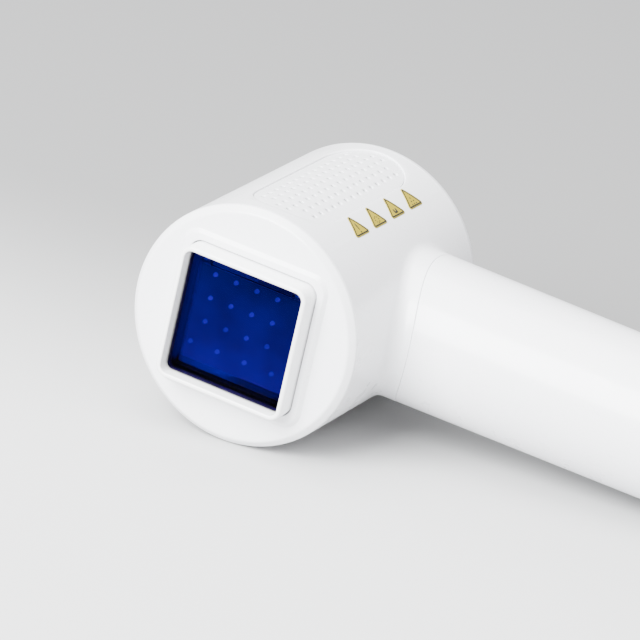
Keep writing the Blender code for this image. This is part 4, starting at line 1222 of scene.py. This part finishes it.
@dataclass
class TreatmentWindow:
    """The skin-contact frame, the filter glass, its gasket and the emitters behind it.

    Attributes are in millimetres; spans run along the head's axis.
    """

    shop: Workshop
    finishes: Finishes
    outer: float = 18.4
    inner: float = 17.1
    face: float = -8.5
    corner: float = 3.4
    flange: float = 1.5
    flange_span: tuple[float, float] = (-0.2, 0.9)
    glass_half: float = 16.8
    glass_corner: float = 1.8
    glass_span: tuple[float, float] = (-5.5, -3.5)
    glass_chamfer: float = 0.3
    gasket_width: float = 1.1
    gasket_span: tuple[float, float] = (-3.15, -2.35)
    sheet_size: tuple[float, float, float] = (31.0, 0.4, 26.0)
    sheet_middle: tuple[float, float, float] = (0.0, 0.1, -1.2)
    emitter_middle: tuple[float, float] = (-1.8, 0.3)
    emitter_pitch: tuple[float, float] = (6.1, 6.6)
    lowest_pitch: float = 8.0
    dome_radius: float = 0.6
    dome_height: float = 1.2
    spring_place: float = 18.5
    spring_span: tuple[float, float] = (1.5, 5.9)
    spring_radius: float = 1.0
    spring_turns: int = 3
    spring_wire: float = 0.22
    travel: float = 1.2
    count: int = 160

    def across(self, points: Iterable[Point], along: float) -> list[tuple[float, float, float]]:
        """Plane points laid across the head's axis."""
        return [(p[0], along, p[1]) for p in points]

    def ring(self, outline: RoundedRectangle, path: Sequence[Vector]) -> bmesh.types.BMesh:
        """Sweep a closed section of (offset, along) points round an outline."""
        skin = Skin()
        first = skin.start(self.across(outline.loop(self.count, path[0].x), path[0].y))
        last = skin.grow(first, *(self.across(outline.loop(self.count, p.x), p.y) for p in path[1:]))
        skin.close(last, first)
        skin.weld()
        return skin.bm

    def contact_frame(self) -> None:
        """Build the white frame that is pressed on the skin."""
        width = self.outer - self.inner
        low, high = self.flange_span
        outline = RoundedRectangle(self.outer, self.outer, self.corner)
        path = rounded_path([(-width, high), (-width, self.face, 0.4), (0, self.face, 0.7), (0, low),
                             (self.flange, low), (self.flange, high)], 5)
        self.shop.finish("contact_frame_ring", self.ring(outline, path), [self.finishes.frame],
                         "shell_white", ["contact_frame"], Body.WINDOW_FRAME)

    def glass(self) -> None:
        """Build the filter glass with blackened ground edges."""
        outline = RoundedRectangle(self.glass_half, self.glass_half, self.glass_corner)
        (front, back), edge = self.glass_span, self.glass_chamfer
        skin = Skin()
        first = skin.start(self.across(outline.loop(self.count, -edge), front))
        last = skin.grow(first, self.across(outline.loop(self.count), front + edge),
                         self.across(outline.loop(self.count), back - edge),
                         self.across(outline.loop(self.count, -edge), back), material=1)
        skin.cap(first)
        skin.cap(last)
        skin.weld()
        self.shop.finish("filter_glass_pane", skin.bm, [self.finishes.glass, self.finishes.rubber],
                         "filter_glass", ["filter_glass"], sharp=20)

    def gasket(self) -> None:
        """Build the square gasket behind the glass."""
        outline = RoundedRectangle(self.glass_half, self.glass_half, self.glass_corner)
        width, (low, high) = self.gasket_width, self.gasket_span
        path = rounded_path([(-width, low + 0.25), (-width, low, 0.12), (0, low, 0.12), (0, high, 0.12),
                             (-width, high, 0.12), (-width, high - 0.35)], 4)
        # Its finish is the chamber's black with painted spill light and painted shade, not plain rubber.
        self.shop.finish("window_gasket", self.ring(outline, path), [self.finishes.painted_spill_liner], "seal_rubber",
                         ["window_seal"])

    def emitters(self) -> None:
        """Build the lens sheet with a lit dome over each of the sixteen emitters."""
        skin = Skin()
        bmesh.ops.create_cube(skin.bm, size=1, matrix=Matrix.Translation(self.sheet_middle)
                              @ Matrix.Diagonal((*self.sheet_size, 1)))
        bmesh.ops.bevel(skin.bm, geom=skin.bm.edges[:], offset=0.12, segments=2, profile=0.5,
                        affect="EDGES", material=-1)
        disc = RoundedRectangle(self.dome_radius, self.dome_radius, self.dome_radius)
        foot = self.sheet_middle[1] - self.sheet_size[1] / 2
        dome = [(cos(radians(a)), foot - self.dome_height * sin(radians(a))) for a in range(0, 90, 15)]
        for row in range(4):
            for column in range(4):
                pitch = self.emitter_pitch[0] if row else self.lowest_pitch
                x = self.emitter_middle[0] + (column - 1.5) * pitch
                z = self.emitter_middle[1] + (row - 1.5) * self.emitter_pitch[1]
                rings = [[(x + p[0] * r, y, z + p[1] * r) for p in disc.loop(24)] for r, y in dome]
                base = skin.start(rings[0])
                skin.cap(skin.grow(base, *rings[1:], material=1), 1)
                skin.cap(base, 1)
        skin.outward()
        # The sheet's finish is painted light standing for the emitters' light in it; the domes give the emitters'
        # own light.
        self.shop.finish("emitter_lens_sheet", skin.bm, [self.finishes.painted_glow_sheet, self.finishes.emitter],
                         "clear_lens", ["emitter_array"])

    def spring(self, number: int, x: float, z: float) -> None:
        """Build a coil spring behind the contact frame; the real spring shortens as the frame is pressed, but this
        coil is built at one length.

        Args:
            number: The spring's number.
            x: Its axis's place along the handle.
            z: Its axis's place across it.
        """
        low, high = self.spring_span
        count = self.spring_turns * 24
        bends = [2 * pi * side / 10 for side in range(10)]

        def ring(step: int) -> list[Vector]:
            """The wire's outline at a step along the coil."""
            turn = 2 * pi * self.spring_turns * step / count
            out = Vector((cos(turn), 0, sin(turn)))
            middle = Vector((x, low + (high - low) * step / count, z)) + self.spring_radius * out
            return [middle + self.spring_wire * (cos(bend) * out + sin(bend) * Vector((0, 1, 0)))
                    for bend in bends]

        skin = Skin()
        first = skin.start(ring(0))
        last = skin.grow(first, *(ring(step) for step in range(1, count + 1)))
        skin.cap(first)
        skin.cap(last)
        skin.outward()
        coil = self.shop.finish(f"frame_spring_{number}_coil", skin.bm, [self.finishes.steel], "steel",
                                [f"frame_spring_{number}"], sharp=60)
        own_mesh(coil)

    def build(self) -> None:
        """Build the window's pieces."""
        sides = (-self.spring_place, self.spring_place)
        for number, (x, z) in enumerate(((x, z) for x in sides for z in sides), 1):
            self.spring(number, x, z)
        self.contact_frame()
        self.glass()
        self.gasket()
        self.emitters()


# ------------------------------------------------------------------ the rear key and lights

@dataclass
class RearControls:
    """The power key in the rear cap and the light guide of the level lights.

    Attributes are in millimetres.
    """

    shop: Workshop
    finishes: Finishes
    face: float = 71.9
    key_radius: float = 6.0
    key_lift: float = 0.6
    key_flange: float = 7.4
    stem_radius: float = 2.0
    stem_end: float = 66.4
    dish_depth: float = 0.35
    inside: float = 2.3
    pip_radius: float = 1.08

    def power_key(self) -> None:
        """Build the power key with a dished top and its stem."""
        top, inside, rim = self.face + self.key_lift, self.face - self.inside, self.key_radius - 1
        dish = [(rim * step / 8, top - self.dish_depth * (1 - (step / 8) ** 2)) for step in range(9)]
        side = rounded_path([(rim, top), (self.key_radius, top, 0.5), (self.key_radius, inside),
                             (self.key_flange, inside, 0.1), (self.key_flange, inside - 1, 0.1),
                             (self.stem_radius, inside - 1), (self.stem_radius, self.stem_end),
                             (0, self.stem_end)], 5)
        self.shop.finish("power_key_cap", turned(dish + side[1:], Axis.Y, steps=96), [self.finishes.frame],
                         "shell_white", ["power_button"], Body.POWER_KEY)

    def light_guide(self) -> None:
        """Build the level lights' guide: a bent bar with one domed pip for each level."""
        skin = Skin()
        back, face = self.face - self.inside, self.face
        disc = RoundedRectangle(1, 1, 1)
        bar = [radians(90 + 56 * (step / 24 - 0.5) * 2) for step in range(25)]
        shape = [(self.pip_radius, back - 0.1), (self.pip_radius, face - 0.25), (0.98, face - 0.05),
                 (0.7, face + 0.08), (0.35, face + 0.14)]
        for x, z in level_places():
            rings = [[(x + p[0] * r, y, z + p[1] * r) for p in disc.loop(24)] for r, y in shape]
            base = skin.start(rings[0])
            skin.cap(skin.grow(base, *rings[1:]))
            skin.cap(base)
        section = [(13.4, back), (16.6, back), (16.6, back - 1.2), (13.4, back - 1.2)]
        ring = skin.start([(r * cos(bar[0]), y, r * sin(bar[0])) for r, y in section])
        end = skin.grow(ring, *([(r * cos(t), y, r * sin(t)) for r, y in section] for t in bar[1:]))
        skin.cap(ring)
        skin.cap(end)
        skin.outward()
        self.shop.finish("level_lights", skin.bm, [self.finishes.milky], "clear_lens",
                         ["level_light_guide"])

    def build(self) -> None:
        """Build the rear controls."""
        self.power_key()
        self.light_guide()


# ------------------------------------------------------------------ the handle

@dataclass
class Handle:
    """The grip sleeve, its end cap with the inlet, and the flash key in its bezel."""

    shop: Workshop
    finishes: Finishes
    axis_y: float = 41.0
    root_x: float = 28.0
    root_radius: float = 20.2
    end_x: float = 140.0
    end_radius: float = 19.35
    wall: float = 2.0
    seam_radius: float = 36.86
    sleeve_end: float = 136.2
    key_x: float = 57.0
    key_half_length: float = 6.5
    key_half_width: float = 4.2
    bezel: float = 2.2
    columns: int = 192
    block_columns: int = 15
    block: tuple[float, float] = (46.0, 68.0)

    def radius_at(self, x: float) -> float:
        """The grip's radius at a distance along it."""
        share = (x - self.root_x) / (self.end_x - self.root_x)
        return self.root_radius + (self.end_radius - self.root_radius) * share

    def rolled(self, point: Vector) -> Vector:
        """Where a point of the flat layout lies on the grip."""
        turn, reach = point.x / self.root_radius, self.radius_at(point.y) + point.z
        return Vector((point.y, self.axis_y + reach * cos(turn), reach * sin(turn)))

    def front_x(self, turn: float, radius: float, gap: float) -> float:
        """Where the sleeve's front edge lies, on the round saddle line."""
        return sqrt((self.seam_radius + gap) ** 2 - (radius * sin(turn)) ** 2)

    def sleeve(self) -> None:
        """Build the grip sleeve from a flat layout with the bezel's hole."""
        skin = Layout()
        low, high = self.block
        whole = 2 * pi * self.root_radius
        step = whole / self.columns
        half = self.block_columns * step
        rows = 10
        outline = RoundedRectangle(self.key_half_width + self.bezel, self.key_half_length + self.bezel,
                                   self.key_half_width + self.bezel - 0.1)
        count = 4 * (self.block_columns + rows)
        columns = self.columns - 2 * self.block_columns
        for out in (0.0, -self.wall):
            skin.panel((half, low), (whole - half, high), (columns, 2 * rows), out)
            skin.panel((-half, high), (whole - half, self.sleeve_end - 0.4), (self.columns, 24), out)
        hole = outline.loop(count, 0.15)
        middle = (low + high) / 2
        loop = skin.pierced((0, middle), (half, (high - low) / 2), (self.block_columns, rows), 0.0, hole, 4)
        for offset, out in ((0.045, -0.045), (0, -0.15), (0, -self.wall)):
            loop = skin.grow(loop, [(p[0], middle + p[1], out) for p in outline.loop(count, offset)])
        skin.pierced((0, middle), (half, (high - low) / 2), (self.block_columns, rows), -self.wall,
                     outline.loop(count), 4)
        skin.shape(self.rolled)
        self.ends(skin, low)
        skin.weld()
        self.shop.finish("handle_grip", skin.bm, [self.finishes.shell], "shell_white", ["handle_sleeve"])

    def ends(self, skin: Skin, low: float) -> None:
        """Grow the front end to the seam line and close both ends."""
        turns = [2 * pi * index / self.columns for index in range(self.columns)]

        def ring(radius_drop: float, place: Callable[[float, float], float]) -> list[Vector]:
            """A loop round the grip, its distance along it given by turn and radius."""
            made = []
            for turn in turns:
                radius = self.radius_at(low) - radius_drop
                x = place(turn, radius)
                radius = self.radius_at(x) - radius_drop
                made.append(Vector((x, self.axis_y + radius * cos(turn), radius * sin(turn))))
            return made

        edge, wall = 0.08, self.wall
        start = skin.start(ring(0, lambda turn, radius: low))
        shares = (0.33, 0.66, 0.9)
        rings = [ring(0, lambda t, r, s=s: low + (self.front_x(t, r, edge * 4) - low) * s) for s in shares]
        rings += [ring(drop, lambda t, r, g=gap: self.front_x(t, r, g))
                  for drop, gap in ((0, edge * 4), (0, edge), (0.025, 0.025), (edge, 0), (wall, 0))]
        rings += [ring(wall, lambda t, r: low)]
        skin.grow(start, *rings)
        tail = self.sleeve_end
        back = skin.start(ring(0, lambda t, r: tail - 0.4))
        skin.grow(back, ring(0, lambda t, r: tail - edge), ring(0.025, lambda t, r: tail - 0.025),
                  ring(edge, lambda t, r: tail), ring(wall, lambda t, r: tail),
                  ring(wall, lambda t, r: tail - 0.4))

    def end_cap(self) -> None:
        """Build the end cap with the well of the inlet."""
        face, inside, floor = self.end_x, self.end_x - 2.4, self.end_x - 5.0
        outside = self.sleeve_end + 0.12
        path = rounded_path([(16.9, 129), (16.9, outside), (19.37, outside, 0.1),
                             (self.end_radius, face, 1.5),
                             (5.5, face, 0.4), (5.5, floor), (4.9, floor), (4.9, 126), (7.2, 126),
                             (7.2, inside), (15.4, inside), (15.4, 129)], 6)
        self.shop.finish("handle_end_moulding", turned(path, Axis.X, (0, self.axis_y, 0), 192),
                         [self.finishes.shell], "shell_white", ["handle_end_cap"])

    def inlet(self) -> None:
        """Build the low-voltage inlet's socket and its centre pin."""
        mouth = self.end_x - 5.0
        path = rounded_path([(0, 125.5), (2.75, 125.5), (2.75, mouth, 0.3), (4.6, mouth, 0.2),
                             (4.6, 123, 0.2), (0, 123)], 4)
        centre = (0, self.axis_y, 0)
        self.shop.finish("inlet_socket", turned(path, Axis.X, centre, 64), [self.finishes.black],
                         "black_plastic", ["dc_socket"])
        pin = rounded_path([(0, 125.8), (1.05, 125.8), (1.05, 133.8, 0.6), (0, 133.8)], 6)
        self.shop.finish("inlet_pin", turned(pin, Axis.X, centre, 48), [self.finishes.brass],
                         "contact_brass", ["dc_socket_pin"])

    def pressed(self, outline: RoundedRectangle, path: Sequence[Vector], crown: float,
                closed: bool) -> bmesh.types.BMesh:
        """Sweep a section round an obround outline on the grip's +Y side.

        Args:
            outline: The outline, across the grip and along it.
            path: (offset, height) points; heights are measured from the grip's axis.
            crown: Above this height the piece is bent round the grip.
            closed: Whether the section closes on itself, or its ends are capped.

        Returns:
            The bmesh.
        """
        skin = Skin()
        count = 96

        def ring(point: Vector) -> list[Vector]:
            """The outline at one of the section's points."""
            made = []
            for a, b in outline.loop(count, point.x):
                drop = point.y - sqrt(max(point.y ** 2 - a ** 2, 0)) if point.y > crown else 0.0
                made.append(Vector((self.key_x + b, self.axis_y + point.y - drop, a)))
            return made

        first = skin.start(ring(path[0]))
        last = skin.grow(first, *(ring(p) for p in path[1:]))
        if closed:
            skin.close(last, first)
        else:
            height = path[-1].y
            top = RoundedRectangle(outline.half_a, outline.half_b, outline.corner)
            rings = [[Vector((self.key_x + b * share, self.axis_y + sqrt(height ** 2 - (a * share) ** 2),
                              a * share)) for a, b in top.loop(count, path[-1].x)]
                     for share in (0.75, 0.5, 0.25)]
            skin.cap(skin.grow(last, *rings))
            skin.cap(first)
        skin.weld()
        return skin.bm

    def flash_key(self) -> None:
        """Build the flash key and the bezel that it travels in."""
        outline = RoundedRectangle(self.key_half_width, self.key_half_length, self.key_half_width - 0.1, 1.5)
        path = rounded_path([(0.8, 15.6), (0.8, 16.6), (0, 16.6), (0, 20.95, 0.5), (-0.9, 20.95)], 5)
        self.shop.finish("flash_key_cap", self.pressed(outline, path, 17.0, False), [self.finishes.frame],
                         "shell_white", ["flash_button"], Body.FLASH_KEY)
        path = rounded_path([(0.3, 17.6), (0.3, 20.4, 0.25), (2.1, 20.4, 0.6), (2.1, 17.6)], 5)
        self.shop.finish("flash_key_bezel", self.pressed(outline, path, 17.0, True), [self.finishes.trim],
                         "trim_aluminium", ["button_bezel"])

    def build(self) -> None:
        """Build the handle's outside."""
        self.sleeve()
        self.end_cap()
        self.inlet()
        self.flash_key()


# ------------------------------------------------------------------ studio

@dataclass
class Studio:
    """The floor, the soft lights and the camera.

    Attributes:
        axes: The device's axes.
        azimuth: The camera's azimuth, in degrees.
        elevation: Its height above the horizon, in degrees.
        roll: How far it is rolled about its own axis, in degrees.
        distance: From the device's origin, in millimetres.
        slide: How far it stands to its right and up of that line, in millimetres.
        lens: Its focal length on a 36 mm sensor, in millimetres.
    """

    axes: DeviceAxes
    azimuth: float = 24.519
    elevation: float = 20.067
    roll: float = 7.982
    distance: float = 1597.47
    slide: tuple[float, float] = (18.63, 4.01)
    lens: float = 352.88

    def camera(self) -> None:
        """Set the camera."""
        turn, rise, roll = radians(self.azimuth), radians(self.elevation), radians(self.roll)
        back = Vector((sin(turn) * cos(rise), -cos(turn) * cos(rise), sin(rise)))
        right = Vector((cos(turn), sin(turn), 0))
        up = back.cross(right)
        place = self.axes.origin + (back * self.distance + right * self.slide[0] + up * self.slide[1]) * MM
        across = right * cos(roll) + up * sin(roll)
        upright = up * cos(roll) - right * sin(roll)
        data = bpy.data.cameras.new("camera")
        data.lens, data.sensor_width, data.clip_end = self.lens, 36.0, 20.0
        camera = bpy.data.objects.new("camera", data)
        camera.matrix_world = Matrix((across, upright, back)).transposed().to_4x4()
        camera.location = place
        bpy.context.scene.collection.objects.link(camera)
        bpy.context.scene.camera = camera

    def floor(self) -> None:
        """Lay the pale floor, whose colour greys gently into the distance as painted shade."""
        bm = bmesh.new()
        bmesh.ops.create_grid(bm, x_segments=4, y_segments=4, size=3.0)
        mesh = bpy.data.meshes.new("floor")
        bm.to_mesh(mesh)
        bm.free()
        mesh.materials.append(Backdrop("backdrop_painted_falloff", "#868686", 0.9).build())
        floor = bpy.data.objects.new("floor", mesh)
        floor.location = (0, 0, -0.0002)
        bpy.context.scene.collection.objects.link(floor)

    def lamp(self, name: str, place: Point, size: float, power: float, colour: str) -> None:
        """Hang a square soft light that faces the device."""
        data = bpy.data.lights.new(name, "AREA")
        data.size, data.energy, data.color = size, power, srgb(colour)[:3]
        lamp = bpy.data.objects.new(name, data)
        lamp.location = place
        lamp.rotation_mode = "QUATERNION"
        lamp.rotation_quaternion = (Vector(place) - Vector((0, 0.02, 0.03))).to_track_quat("Z", "Y")
        bpy.context.scene.collection.objects.link(lamp)

    def build(self) -> None:
        """Build the studio."""
        self.camera()
        self.floor()
        self.lamp("key_light", (-0.5, -1.5, 1.15), 1.3, 215.0, "#fcfeff")
        self.lamp("top_light", (-0.3, -0.2, 1.5), 1.4, 50.0, "#ffffff")
        self.lamp("fill_light", (1.4, -0.8, 0.6), 1.0, 3.0, "#fffcf8")
        world = bpy.data.worlds.new("studio")
        world.use_nodes = True
        world.node_tree.nodes["Background"].inputs["Color"].default_value = srgb("#e4e4e6")
        world.node_tree.nodes["Background"].inputs["Strength"].default_value = 1.6
        bpy.context.scene.world = world


# ------------------------------------------------------------------ all of it

def dress_nodes(finishes: Finishes) -> None:
    """Give every model node that stays its finish, by the record's slots."""
    slots = {part["node"]: part["material_slot"] for part in frame["record"]["subparts"]}
    # The emitter board takes the chamber's black with painted spill light and painted shade.
    lit = {"emitter_board": finishes.painted_spill_liner}
    for name, node in frame["nodes"].items():
        if not node.hide_render:
            node.data.materials.clear()
            node.data.materials.append(lit.get(name) or finishes.for_slot(slots[name]))


def main() -> None:
    """Build the device and its studio."""
    logging.basicConfig(level=logging.INFO, format="%(message)s")
    axes = DeviceAxes.from_record(frame["record"], frame["joints"], frame_face=TreatmentWindow.face)
    shop, finishes = Workshop(axes), Finishes(axes)
    Studio(axes).build()
    Head(shop, finishes).build()
    for index, mark in enumerate(Mark):
        Label(shop, finishes, f"marker_label_{index + 1}", mark, along=20.4 + 10.2 * index).build()
    TreatmentWindow(shop, finishes).build()
    RearControls(shop, finishes).build()
    Handle(shop, finishes).build()
    dress_nodes(finishes)


if __name__ == "__main__":
    main()
